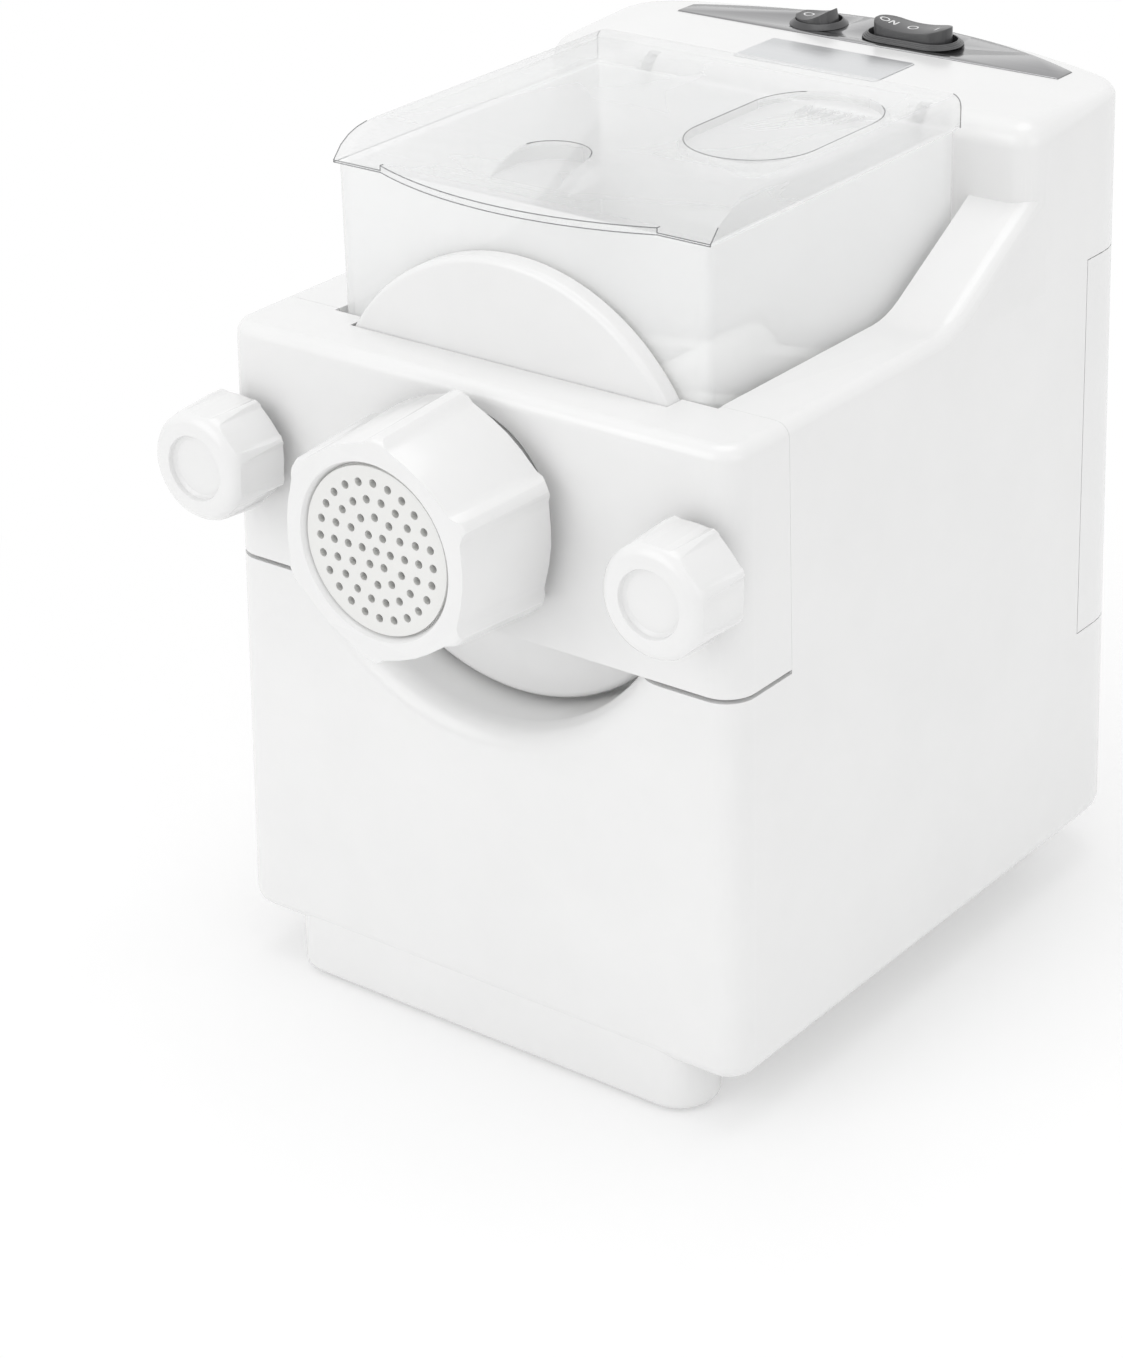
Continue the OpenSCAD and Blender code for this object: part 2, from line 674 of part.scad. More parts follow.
// The front disc and its barrel. The disc's rim is rounded at the front, its back has
// a spigot that enters the trough's mouth, and the bore flares towards the trough.
disc_round = 2.5;
spigot_len = 4;
module extruder_barrel() color("white") difference() {
    turned_y() polygon(concat(
        [[barrel_r, barrel_front + 1.2]],
        thread(barrel_r, barrel_front + 1.4, nut_back - 4, nut_lead),
        [[barrel_r, disc_front - 3], [barrel_r + 1.6, disc_front]],
        [for (a = [90:-15:0])
            [disc_r - disc_round + disc_round*cos(a), disc_front + disc_round - disc_round*sin(a)]],
        [[disc_r, disc_back], [mouth_r - 0.4, disc_back], [mouth_r - 0.4,
            disc_back + gasket_t + spigot_len],
            [mouth_r - 3.4, disc_back + gasket_t + spigot_len], [mouth_r - 3.4, disc_back - 2.5],
            [barrel_bore_r + 8, disc_back - 2.5], [barrel_bore_r, disc_back - 7],
            [barrel_bore_r, barrel_front], [barrel_r - 1.2, barrel_front]]
    ));
}

module barrel_gasket() color("gainsboro") turned_y() polygon([[mouth_r + 0.6, disc_back], [disc_r - 1,
    disc_back],
    [disc_r - 1, trough_front], [mouth_r + 0.6, trough_front]]);

// The ring nut: a tapering shell with soft ridges, a bore on the barrel, a pocket for
// the die and a lip with the opening.
nut_turn = 25;
nut_round = 2.5;
module ring_nut() color("white") difference() {
    intersection() {
        translate([0, nut_back, axis_h]) rotate([90, 0, 0])
            linear_extrude(nut_len, scale = (nut_front_r + 1)/nut_back_r)
                ridged_outline(nut_ridges, nut_back_r, ridge_h, nut_turn);
        turned_y() polygon(concat(
            [[0, nut_back], [nut_back_r + ridge_h - 1.5, nut_back], [nut_back_r + ridge_h, nut_back - 1.5]],
            [for (a = [0:15:90])
                [nut_front_r - nut_round + 4 + nut_round*cos(a),
                    -nut_reach + nut_round - nut_round*sin(a)]],
            [[0, -nut_reach]]
        ));
    }
    bar_y(die_front, nut_back + past, barrel_r + run_fit);
    turned_y() polygon([[barrel_r - 1, nut_back + past], [nut_back_r - 3.4, nut_back + past],
        [nut_back_r - 3.4, nut_back - 2], [barrel_r - 1, nut_back - 5]]);
    cone_y(-nut_reach - 0.01, die_front + 0.01, nut_opening_r + 1.4, nut_opening_r);
}

module die() color("gainsboro") difference() {
    union() {
        bar_y(die_front + 0.1, die_front + die_t, barrel_r - 0.2);
        bar_y(die_front - 1.6, die_front + 1, nut_opening_r - 0.4);
    }
    for (ring = [0:4], i = [0:max(0, 6*ring - 1)])
        let (a = ring == 0 ? 0 : 360*i/(6*ring))
            bar_y(-nut_reach - past, barrel_front + past, noodle_r, ring*noodle_pitch*cos(a),
                axis_h + ring*noodle_pitch*sin(a), fn = 24);
}

// ---- trough and lid ---------------------------------------------------------

trough_corner = 3.5;
module trough_shape(inset, top) intersection() {
    upright(trough_front + inset, trough_back - inset) trough_section(trough_half_w - inset, top);
    translate([0, (trough_front + trough_back)/2, 0])
        linear_extrude(top + past) rounded_rect(2*(trough_half_w - inset),
            trough_back - trough_front - 2*inset, trough_corner - inset);
}

module bowl() color([0.9, 0.93, 0.95, 0.35]) difference() {
    union() {
        trough_shape(0, trough_top);
        bar_y(trough_back - 0.1, trough_back + 1, shaft_r + 5);
    }
    trough_shape(trough_wall, trough_top + past);
    bar_y(trough_front - past, trough_front + trough_wall + past, mouth_r);
    bar_y(trough_back - trough_wall - past, trough_back + 2, shaft_r + 3);
}

module shaft_seal() color("gainsboro") difference() {
    union() {
        bar_y(trough_back - trough_wall - 1.5, trough_back + 0.9, shaft_r + 3);
        bar_y(trough_back - trough_wall - 1.5, trough_back - trough_wall, shaft_r + 5);
    }
    bar_y(0, tower_front, shaft_r + run_fit);
}

// Height lost at a distance in front of the lid's bend: a quarter of an ellipse.
lid_curve_len = 28.4;
function lid_fall(d) = d <= 0 ? 0 : lid_drop*1.3*(1 - sqrt(1 - pow(min(d/lid_curve_len, 0.98), 2)));
lid_steps = 7;

module lid_side(inset) polygon(concat(
    [[lid_back - inset, lid_bottom - inset*past], [lid_back - inset, lid_top - inset], [-lid_bend,
        lid_top - inset]],
    [for (i = [1:lid_steps]) let (d = (-lid_bend - lid_front)*i/lid_steps)
        [-lid_bend - d + inset*i/lid_steps, lid_top - lid_fall(d) - inset]],
    [[lid_front + inset, lid_bottom - inset*past]]
));

// The lid's side outline, drawn in Y and Z, as wide as asked.
module across(half) translate([-half, 0, 0]) rotate([90, 0, 90]) linear_extrude(2*half) children();

module recess_outline(r, l) {
    translate([0, l/2 - r]) circle(r, $fn = 64);
    translate([0, r - l/2]) circle(r, $fn = 64);
    square([2*r, l - 2*r], center = true);
}

recess_y = -12;
lip_r = (pow(lip_half_w, 2) + pow(lip_reach, 2))/(2*lip_reach);

// The lid's cross section, with its long edges rounded.
module lid_section(inset) polygon([for (side = [1, -1], a = [0:15:90])
    let (t = side > 0 ? a : 90 - a, r = lid_edge_r - inset)
        [side*(lid_half_w - lid_edge_r + r*cos(t)), lid_top - lid_edge_r + r*sin(t)],
    [inset - lid_half_w, lid_bottom - 10], [lid_half_w - inset, lid_bottom - 10]]);

module lid_body(inset) intersection() {
    across(lid_half_w - inset) lid_side(inset);
    upright(lid_front - past, lid_back + past) lid_section(inset);
}

module lid() color([0.92, 0.95, 0.97, 0.3]) difference() {
    union() {
        difference() {
            lid_body(0);
            lid_body(lid_wall);
        }
        intersection() {
            translate([recess_x, recess_y, lid_top - recess_deep - lid_wall])
                linear_extrude(recess_deep + lid_wall) recess_outline(recess_r + lid_wall,
                    recess_len + 2*lid_wall);
            lid_body(0);
        }
        intersection() {
            translate([0, lid_front - lip_reach + lip_r, lid_bottom]) cylinder(r = lip_r, h = lid_wall,
                $fn = 180);
            box([-lip_half_w, lip_half_w], [lid_front - lip_reach, lid_front + lid_wall], [0, lid_top]);
        }
        intersection() {
            scoop(lid_wall);
            lid_body(0);
        }
        both_sides() hook();
    }
    translate([recess_x, recess_y, lid_top - recess_deep]) linear_extrude(10) recess_outline(recess_r,
        recess_len);
    for (i = [0:4]) translate([recess_x - 10 + 5*i, recess_y + recess_len/2 - recess_r + 9, lid_top - 12])
        linear_extrude(20) recess_outline(1.1, 9);
    scoop(0);
}

// The thumb scoop: a hollow that opens at the lip and rises towards the lid's middle.
scoop_len = 29;
module scoop(extra) translate([0, lid_front - lip_reach, lid_top - 6 - extra]) intersection() {
    linear_extrude(20) {
        translate([0, scoop_len]) circle(scoop_half_w + extra, $fn = 64);
        translate([-scoop_half_w - extra, lip_reach + lid_wall]) square([2*(scoop_half_w + extra),
            scoop_len - lip_reach - lid_wall]);
    }
    translate([-50, 0, 0]) cube([100, 100, 6 + extra + 0.01]);
}

module hook() {
    translate([hook_x - hook_t/2, 0, 0]) rotate([90, 0, 90]) linear_extrude(hook_t) {
        translate([pivot_y + hook_len, pivot_z]) circle(hook_r, $fn = 32);
        translate([lid_back - 0.01, pivot_z - hook_r]) square([pivot_y + hook_len - lid_back, 2*hook_r]);
        translate([lid_back - lid_wall, lid_bottom]) square([lid_wall + 1, 4]);
    }
}

// ---- controls ---------------------------------------------------------------

panel_cut = 10;
module control_outline(extra) intersection() {
    translate([0, panel_back - panel_bow_r]) circle(panel_bow_r + extra, $fn = 240);
    translate([-panel_half_w - extra, panel_front - extra]) square([2*(panel_half_w + extra), 60]);
}

module mode_outline(w, d) recess_outline_x(d/2, w);
module recess_outline_x(r, l) rotate(90) recess_outline(r, l);

switch_body_d = 15;
module switch_holes() {
    translate([-power_x, switch_y]) circle(power_r - 1.2, $fn = 48);
    translate([mode_x, switch_y]) mode_outline(mode_w - 2.4, mode_d - 2.4);
}

panel_top = tower_h + panel_proud;
module control_panel() color("dimgray") difference() {
    translate([0, 0, panel_top - panel_t]) linear_extrude(panel_t) control_outline(0);
    translate([0, 0, panel_top - 2*panel_t]) linear_extrude(3*panel_t) switch_holes();
}

module label_plate() color("silver")
    translate([0, label_y, tower_h - 0.55]) linear_extrude(0.55 + panel_proud) rounded_rect(label_w,
        label_d, 1);

// A switch case: a bezel on the panel and a cup below it. The rocker turns in the cup.
bezel_t = 1.8;
cup_deep = 20;
cup_wall = 0.8;
rocker_drop = 2;
rocker_pivot_z = panel_top - rocker_drop;
module power_switch_case() color([0.2, 0.2, 0.2]) translate([-power_x, switch_y, 0]) difference() {
    union() {
        translate([0, 0, panel_top]) cylinder(r1 = power_r, r2 = power_r - 1.9, h = bezel_t, $fn = 64);
        translate([0, 0, panel_top - cup_deep]) cylinder(r = power_r - 1.4, h = cup_deep + 0.1, $fn = 64);
    }
    translate([0, 0, panel_top - cup_deep + 2]) cylinder(r = power_r - 1.4 - cup_wall,
        h = cup_deep + 10, $fn = 64);
}

module mode_switch_case() color([0.2, 0.2, 0.2]) translate([mode_x, switch_y, 0]) difference() {
    union() {
        for (i = [0:3]) translate([0, 0, panel_top]) linear_extrude(bezel_t*(i + 1)/4)
            mode_outline(mode_w - i*1.1, mode_d - i*1.1);
        translate([0, 0, panel_top - cup_deep]) linear_extrude(cup_deep + 0.1)
            mode_outline(mode_w - 2.8, mode_d - 2.8);
    }
    translate([0, 0, panel_top - cup_deep + 2]) linear_extrude(cup_deep + 10)
        mode_outline(mode_w - 2.8 - 2*cup_wall, mode_d - 2.8 - 2*cup_wall);
}

// A rocker's outline: two wings above, a round belly below. It turns about Y.
wing_angle = 11;
module rocker_profile(half, rise, sag, belly) polygon(concat(
    [for (i = [-6:6]) [half*i/6, rise - sag*(1 - pow(i/6, 2))]],
    [for (a = [0:15:180]) [half*cos(a), -belly*sin(a)]]
));

power_rise = 6.4;
module power_rocker() color([0.13, 0.13, 0.13]) translate([-power_x, switch_y, rocker_pivot_z])
    rotate([0, -wing_angle, 0])
    intersection() {
        upright(-power_r, power_r) rocker_profile(power_r - 3.7, power_rise, 1.6, 5);
        translate([0, 0, -cup_deep]) cylinder(r = power_r - 3.1, h = 40, $fn = 64);
    }

mode_rise = 8.4;
module mode_rocker() color([0.13, 0.13, 0.13]) translate([mode_x, switch_y, rocker_pivot_z])
    intersection() {
    upright(-mode_d, mode_d) rocker_profile(mode_w/2 - 4.3, mode_rise, 2.2, 6);
    translate([0, 0, -cup_deep]) linear_extrude(40) mode_outline(mode_w - 8.4, mode_d - 6.2);
}

// ---- motor and gears --------------------------------------------------------

// Involute of an angle, in degrees.
function inv(a) = tan(a)*180/PI - a;
// Half of a tooth's angle at a radius.
function tooth_half(teeth, m, r) = let (rb = teeth*m/2*cos(pressure_angle))
    90/teeth - backlash/2/(teeth*m/2)*180/PI + inv(pressure_angle) - (r > rb ? inv(acos(rb/r)) : 0);

// A gear's outline, with a tooth or a gap facing the given direction.
module gear_outline(teeth, m, facing, gap = false) {
    pitch_r = teeth*m/2;
    tip = pitch_r + 0.96*m;
    root = pitch_r - 1.2*m;
    base = max(pitch_r*cos(pressure_angle), root + 0.05);
    radii = [root, base, (base + tip)/2, tip];
    turn = facing + (gap ? 180/teeth : 0);
    polygon([for (i = [0:teeth - 1], side = [-1, 1], k = [0:3])
        let (r = radii[side < 0 ? k : 3 - k], a = turn + 360*i/teeth + side*tooth_half(teeth, m, r))
            [r*cos(a), r*sin(a)]]);
}

module gear_wheel(y, teeth, m, h, facing, gap = false)
    upright(y[0], y[1]) translate([0, h]) gear_outline(teeth, m, facing, gap);

module output_gear() color("ivory") difference() {
    union() {
        gear_wheel(gear_3_y, output_teeth, module_3, axis_h, 270, true);
        bar_y(gear_3_y[1] - 1, gear_3_y[1] + 6, shaft_r + 5);
    }
    bar_y(case_front, case_back, shaft_r + 0.05);
    for (i = [0:5]) rotate_about(axis_h, i*60) bar_y(gear_3_y[0] - past, gear_3_y[1] + past, 6, 0,
        axis_h + 24, fn = 32);
}

module rotate_about(z, a) translate([0, 0, z]) rotate([0, a, 0]) translate([0, 0, -z]) children();

module second_gear() color("ivory") difference() {
    union() {
        gear_wheel([gear_3_y[0] - 0.5, gear_3_y[1] + 0.5], pinion_teeth, module_3, second_h, 90);
        gear_wheel(gear_2_y, second_teeth, module_2, second_h, 270, true);
        bar_y(gear_3_y[1] + 0.4, gear_2_y[0] + 0.1, axle_r + 4, z = second_h);
        bar_y(gear_2_y[1] - 0.1, gear_2_y[1] + 3, axle_r + 4, z = second_h);
    }
    bar_y(case_front, case_back, axle_r + run_fit, z = second_h);
}

module first_gear() color("ivory") difference() {
    union() {
        gear_wheel([gear_2_y[0] - 0.5, gear_2_y[1] + 0.6], pinion_teeth, module_2, first_h, 90);
        gear_wheel(gear_1_y, first_teeth, module_1, first_h, 270, true);
        bar_y(gear_2_y[1] + 0.5, gear_1_y[0] + 0.1, axle_r + 4, z = first_h);
        bar_y(case_front + case_t + 0.5, gear_2_y[0] - 0.4, axle_r + 3, z = first_h);
    }
    bar_y(case_front, case_back, axle_r + run_fit, z = first_h);
}

module motor_pinion() color("goldenrod") difference() {
    gear_wheel([gear_1_y[0] - 0.5, gear_1_y[1] + 0.5], pinion_teeth, module_1, motor_h, 90);
    bar_y(case_front, case_back, axle_r + 0.02, z = motor_h);
}

// The gearbox's inside, around its three sizes of gear, and t more.
room_3 = module_3*output_teeth/2 + 4;
room_2 = module_2*second_teeth/2 + 3.5;
room_1 = module_1*pinion_teeth/2 + 5.5;
module gearbox_outline(t) {
    translate([0, axis_h]) circle(room_3 + t, $fn = round_fn);
    translate([0, first_h]) circle(room_2 + t, $fn = round_fn);
    translate([-room_2 - t, first_h]) square([2*(room_2 + t), axis_h - first_h]);
    translate([0, motor_h]) circle(room_1 + t, $fn = round_fn);
    translate([-room_1 - t, motor_h]) square([2*(room_1 + t), first_h - motor_h]);
}

module gearbox_screw_places() for (sx = [-1, 1], z = [second_h - 10, second_h + 24])
    translate([sx*(room_2 + 7), 0, z]) children();

module gearbox_case() color("lightgray") difference() {
    union() {
        difference() {
            upright(case_front, case_back) gearbox_outline(3);
            upright(case_front + case_t, case_back + past) gearbox_outline(0);
        }
        bar_y(case_front, gear_3_y[0] - 0.6, bearing_r + 3);
        gearbox_screw_places() bar_y(case_front, case_front + 8, 6, z = 0, fn = 48);
    }
    bar_y(case_front - past, gear_3_y[0] + past, shaft_r + 2.5);
    bar_y(case_front + 0.8, gear_3_y[0] + past, bearing_r + 0.05);
    bar_y(case_front - past, case_front + case_t + past, axle_r + 2, z = motor_h);
    for (h = [first_h, second_h]) bar_y(case_front - past, case_front + case_t + past, axle_r + 0.02,
        z = h);
    gearbox_screw_places() bar_y(case_front - past, case_front + 10, 1.7, z = 0, fn = 32);
}

cover_t = 4;
module gearbox_cover() color("lightgray") difference() {
    union() {
        upright(case_back, case_back + cover_t) gearbox_outline(3);
        bar_y(case_back - 6, case_back + cover_t, bearing_r + 3);
        for (h = [first_h, second_h]) bar_y(case_back - 1.6, case_back + 1, axle_r + 3, z = h);
    }
    bar_y(case_back - 6 - past, case_back + cover_t - 1, bearing_r + 0.05);
    for (h = [first_h, second_h]) bar_y(case_back - 3, case_back + cover_t - 1, axle_r + 0.02, z = h);
    bar_y(case_back - past, case_back + cover_t - 1, axle_r + 2, z = motor_h);
}

module gear_axles() color("silver") for (h = [first_h, second_h])
    bar_y(case_front + 0.2, case_back + cover_t - 1.2, axle_r, z = h);

module output_bearings() color("silver") for (y = [case_front + 0.9,
    case_back + cover_t - 1.1 - bearing_w]) difference() {
    bar_y(y, y + bearing_w - 0.9, bearing_r);
    bar_y(y - past, y + bearing_w, shaft_r + run_fit);
}

module gearbox_screws() color("silver") gearbox_screw_places() {
    bar_y(case_front - 2.2, case_front + 8.1, 1.5, z = 0, fn = 32);
    bar_y(case_front + 8.1, case_front + 10.5, 3, z = 0, fn = 32);
}

module motor_case() color("dimgray") difference() {
    union() {
        difference() {
            bar_y(motor_front, motor_back, motor_r, z = motor_h);
            bar_y(motor_front + 3, motor_back - 3, motor_r - 2.5, z = motor_h);
        }
        difference() {
            bar_y(motor_front + 22, motor_back - 22, motor_r - 2.4, z = motor_h);
            bar_y(motor_front + 21, motor_back - 21, motor_r - 12, z = motor_h);
        }
        for (y = [motor_front, motor_back - 6]) bar_y(y, y + 6, axle_r + 5, z = motor_h);
    }
    bar_y(motor_front - past, motor_back + past, axle_r + run_fit, z = motor_h);
    for (i = [0:7]) rotate_about(motor_h, i*45 + 22.5)
        bar_y(motor_front - past, motor_back + past, 4, 0, motor_h + 25, fn = 32);
}

module motor_rotor() color("silver") {
    bar_y(motor_front - 12, case_back - 2, axle_r, z = motor_h);
    bar_y(motor_front + 26, motor_back - 26, motor_r - 13, z = motor_h);
}

module cooling_fan() color("black") difference() {
    union() {
        bar_y(motor_front - 11, motor_front - 1.5, axle_r + 4, z = motor_h, fn = 48);
        bar_y(motor_front - 3, motor_front - 1.5, motor_r - 6, z = motor_h);
        for (i = [0:7]) rotate_about(motor_h, i*45)
            box([-0.8, 0.8], [motor_front - 11, motor_front - 2], [motor_h + axle_r + 3,
                motor_h + motor_r - 6]);
    }
    bar_y(motor_front - 13, motor_front, axle_r + 0.02, z = motor_h);
}

module motor_bracket() color("silver") difference() {
    union() {
        box([-40, 40], [motor_front + 8, motor_back - 8], [body_clear + base_t + 0.1,
            body_clear + base_t + 2.6]);
        for (y = [motor_front + 10, motor_back - 16])
            box([-30, 30], [y, y + 6], [body_clear + base_t + 2.5, motor_h - 12]);
    }
    bar_y(motor_front, motor_back, motor_r + 0.1, z = motor_h);
}

drive_end = case_back + cover_t - 1.6;
module drive_shaft() color("silver") {
    bar_y(trough_back - 16, drive_end, shaft_r);
    intersection() {
        bar_y(trough_back - 34, trough_back - 15, shaft_r);
        box([-5.5, 5.5], [-200, 200], [axis_h - 5.5, axis_h + 5.5]);
    }
}

// The paddle: a hub on the shaft's square end with two bent arms joined by a bar.
paddle_back = trough_back - trough_wall - 6;
paddle_front = trough_front + trough_wall + 10;
arm_t = 9;
module mixing_paddle() color("white") difference() {
    union() {
        bar_y(paddle_front, paddle_back, hub_r);
        for (a = [82, 262]) rotate_about(axis_h, a) {
            for (y = [paddle_front + 3, (paddle_front + paddle_back)/2 - arm_t/2, paddle_back - 3 - arm_t])
                box([-arm_t/2, arm_t/2], [y, y + arm_t], [axis_h, axis_h + paddle_r - 4]);
            bar_y_rounded(paddle_front + 3, paddle_back - 3, arm_t/2, axis_h + paddle_r - arm_t/2);
        }
    }
    box([-5.6, 5.6], [trough_back - 34.5, trough_back - 15.5], [axis_h - 5.6, axis_h + 5.6]);
    bar_y(trough_back - 16, trough_back, shaft_r + 0.1);
    box([-6.1, 6.1], [paddle_front - past, paddle_front + 14], [axis_h - 6.1, axis_h + 6.1]);
}

module bar_y_rounded(y0, y1, r, z) bar_y(y0, y1, r, 0, z, fn = 48);

// The auger: a core with one flight, keyed into the paddle's hub by a square spigot.
auger_back = paddle_front - 0.3;
auger_front = barrel_front + 1.5;
module auger() color("white") {
    bar_y(auger_front, auger_back, 9, fn = 48);
    box([-6, 6], [auger_back - 1, paddle_front + 13.5], [axis_h - 6, axis_h + 6]);
    translate([0, auger_front, axis_h]) rotate([-90, 0, 0])
        linear_extrude(height = auger_back - auger_front,
            twist = 360*(auger_back - auger_front)/auger_pitch,
            slices = round((auger_back - auger_front)/1.8), $fn = 20)
            translate([(barrel_bore_r - 0.6)/2, 0]) scale([1, 0.5]) circle((barrel_bore_r - 0.6)/2);
}

// ---- feet, fasteners and small parts ----------------------------------------

module rubber_feet() color([0.25, 0.25, 0.25]) foot_places() {
    cylinder(r1 = foot_r - 2, r2 = foot_r - 1, h = 1, $fn = 64);
    translate([0, 0, 1]) cylinder(r = foot_r - 1, h = skid_clear + foot_seat - 1, $fn = 64);
    cylinder(r = 2, h = skid_clear + foot_seat + 4, $fn = 32);
}

module base_screws() color("silver") base_screw_places() {
    translate([0, 0, body_clear - 1.8]) cylinder(r = 3, h = 1.8, $fn = 32);
    translate([0, 0, body_clear - 0.1]) cylinder(r = 1.5, h = 10, $fn = 32);
}

module cover_screws() color("silver") cover_screw_places() {
    bar_y(-11, 0.2, 1.5, z = 0, fn = 32);
    bar_y(0.1, 1.6, 3, z = 0, fn = 32);
}

module cord_gland() color([0.2, 0.2, 0.2]) difference() {
    union() {
        bar_y(plug_y - 10, pad_y + 1, gland_r, gland_x, gland_z, fn = 48);
        bar_y(pad_y + 0.1, pad_y + 1.8, gland_rim, gland_x, gland_z, fn = 48);
        bar_y(plug_y - 10, plug_y - 6.4, gland_rim, gland_x, gland_z, fn = 48);
    }
    bar_y(plug_y - 11, tower_back, cord_r, gland_x, gland_z, fn = 48);
}

// The circuit board, on four pins in the housing's side wall, and its two tall parts.
board_x = body_w/2 - 15;
board_t = 1.6;
board_y = [-60, 20];
board_z = [body_clear + 20, body_clear + 90];
board_pin_y = [board_y[0] + 7, board_y[1] - 7];
board_pin_z = [board_z[0] + 7, board_z[1] - 7];
module control_board() color("darkgreen") {
    difference() {
        box([board_x, board_x + board_t], board_y, board_z);
        for (y = board_pin_y, z = board_pin_z) translate([board_x - past, y, z]) rotate([0, 90, 0])
            cylinder(r = 1.7, h = board_t + 2*past, $fn = 24);
    }
    box([board_x - 12, board_x + 0.1], [-40, -16], [52, 82]);
    translate([board_x - 18, 0, 66]) rotate([0, 90, 0]) cylinder(r = 7, h = 18.1, $fn = 48);
    box([board_x - 9, board_x + 0.1], [-44, 12], [90, 97]);
}

// The lid's safety switch, on a shelf inside the tower, and its plunger.
switch_bottom = pivot_z - 12;
switch_back = pivot_y + 26;
module interlock_switch() color([0.15, 0.15, 0.15]) difference() {
    box([-hook_x - 5, -hook_x + 5], [pivot_y + 10, switch_back], [switch_bottom, pivot_z + 1.2]);
    bar_y(pivot_y + 9, pivot_y + 20, 1.2 + run_fit, -hook_x, pivot_z - 2, fn = 32);
}

plunger_gap = 0.5;
module interlock_plunger() color("firebrick")
    bar_y(pivot_y + hook_len + hook_r + plunger_gap, pivot_y + 17, 1.2, -hook_x, pivot_z - 2, fn = 32);

// ---- the nodes --------------------------------------------------------------

place() main_housing();
place() base_plate();
place() rear_cover();
place() crossbar();
place() extruder_barrel();
place() barrel_gasket();
place() bowl();
place() shaft_seal();
place() clamp_studs();
place() control_panel();
place() label_plate();
place() power_switch_case();
place() mode_switch_case();
place() motor_case();
place() motor_bracket();
place() gearbox_case();
place() gearbox_cover();
place() gear_axles();
place() output_bearings();
place() rubber_feet();
place() base_screws();
place() cover_screws();
place() gearbox_screws();
place() cord_gland();
place() control_board();
place() interlock_switch();
place() interlock_plunger();
place() lid();
place() die();
place() ring_nut();
place() washer_left();
place() washer_right();
place() knob_left();
place() knob_right();
place() power_rocker();
place() mode_rocker();
place() motor_rotor();
place() motor_pinion();
place() cooling_fan();
place() first_gear();
place() second_gear();
place() output_gear();
place() drive_shaft();
place() mixing_paddle();
place() auger();
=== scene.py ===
"""Looks of the electric pasta maker: finishes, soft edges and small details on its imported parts."""

import json
import math

import bmesh
import bpy
from bpy.props import FloatProperty, FloatVectorProperty, IntProperty, PointerProperty
from mathutils import Matrix, Vector
from mathutils.bvhtree import BVHTree


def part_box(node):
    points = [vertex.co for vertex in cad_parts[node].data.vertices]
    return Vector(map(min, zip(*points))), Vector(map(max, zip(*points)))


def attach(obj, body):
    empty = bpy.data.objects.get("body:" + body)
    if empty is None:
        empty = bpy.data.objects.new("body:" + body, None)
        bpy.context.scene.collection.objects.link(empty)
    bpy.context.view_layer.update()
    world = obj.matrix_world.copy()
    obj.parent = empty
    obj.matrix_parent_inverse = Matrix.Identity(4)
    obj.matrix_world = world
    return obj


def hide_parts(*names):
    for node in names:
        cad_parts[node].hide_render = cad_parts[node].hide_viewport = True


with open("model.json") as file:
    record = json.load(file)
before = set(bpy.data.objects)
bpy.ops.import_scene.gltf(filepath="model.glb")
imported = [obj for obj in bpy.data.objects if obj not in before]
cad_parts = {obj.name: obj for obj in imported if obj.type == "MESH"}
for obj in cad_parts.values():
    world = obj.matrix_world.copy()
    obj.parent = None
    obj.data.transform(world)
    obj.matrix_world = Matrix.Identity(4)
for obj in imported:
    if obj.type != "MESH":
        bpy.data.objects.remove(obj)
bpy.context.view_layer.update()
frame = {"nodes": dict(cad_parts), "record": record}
RECORD = frame["record"]
BODY_OF = {node: body for body, nodes in RECORD["behaviour"]["bodies"].items() for node in nodes}
MM = 0.001
WELD = 2e-6         # vertices closer than this, in metres, are one
FLAT = 0.25         # faces that meet flatter than this, in degrees, are joined

bl_info = {
    "name": "Pasta maker looks",
    "version": (1, 0, 0),
    "blender": (4, 5, 0),
    "location": "View3D > Sidebar > Pasta maker",
    "description": "Dresses the pasta maker's parts in moulded, clear and metal finishes",
    "category": "Object",
}


# ---- sizes and colours a user would change -----------------------------------

class ShellLooks(bpy.types.PropertyGroup):
    """The white moulded parts."""
    white: FloatVectorProperty(name="White", description="Colour of the glossy white plastic",
        subtype="COLOR", size=3, min=0, max=1, default=(0.84, 0.84, 0.838))
    food_white: FloatVectorProperty(name="Food white", description="Colour of the paddle, auger and die",
        subtype="COLOR", size=3, min=0, max=1, default=(0.80, 0.80, 0.785))
    roughness: FloatProperty(name="Roughness", description="Roughness of the glossy white plastic",
        subtype="FACTOR", min=0, max=1, default=0.24)
    grain: FloatProperty(name="Grain", description="Size of the moulded grain",
        subtype="DISTANCE", unit="LENGTH", min=0.0001, max=0.01, default=0.0009)
    edge: FloatProperty(name="Edge rounding", description="Rounding of the moulded parts' edges",
        subtype="DISTANCE", unit="LENGTH", min=0, max=0.002, default=0.0005)
    mouth: FloatProperty(name="Mouth rounding", description="Rounding of the opening's edge below the disc",
        subtype="DISTANCE", unit="LENGTH", min=0.001, max=0.01, default=0.009)
    mouth_gap: FloatProperty(name="Mouth gap", description="Space between the trough and its opening",
        subtype="DISTANCE", unit="LENGTH", min=0.001, max=0.004, default=0.003)


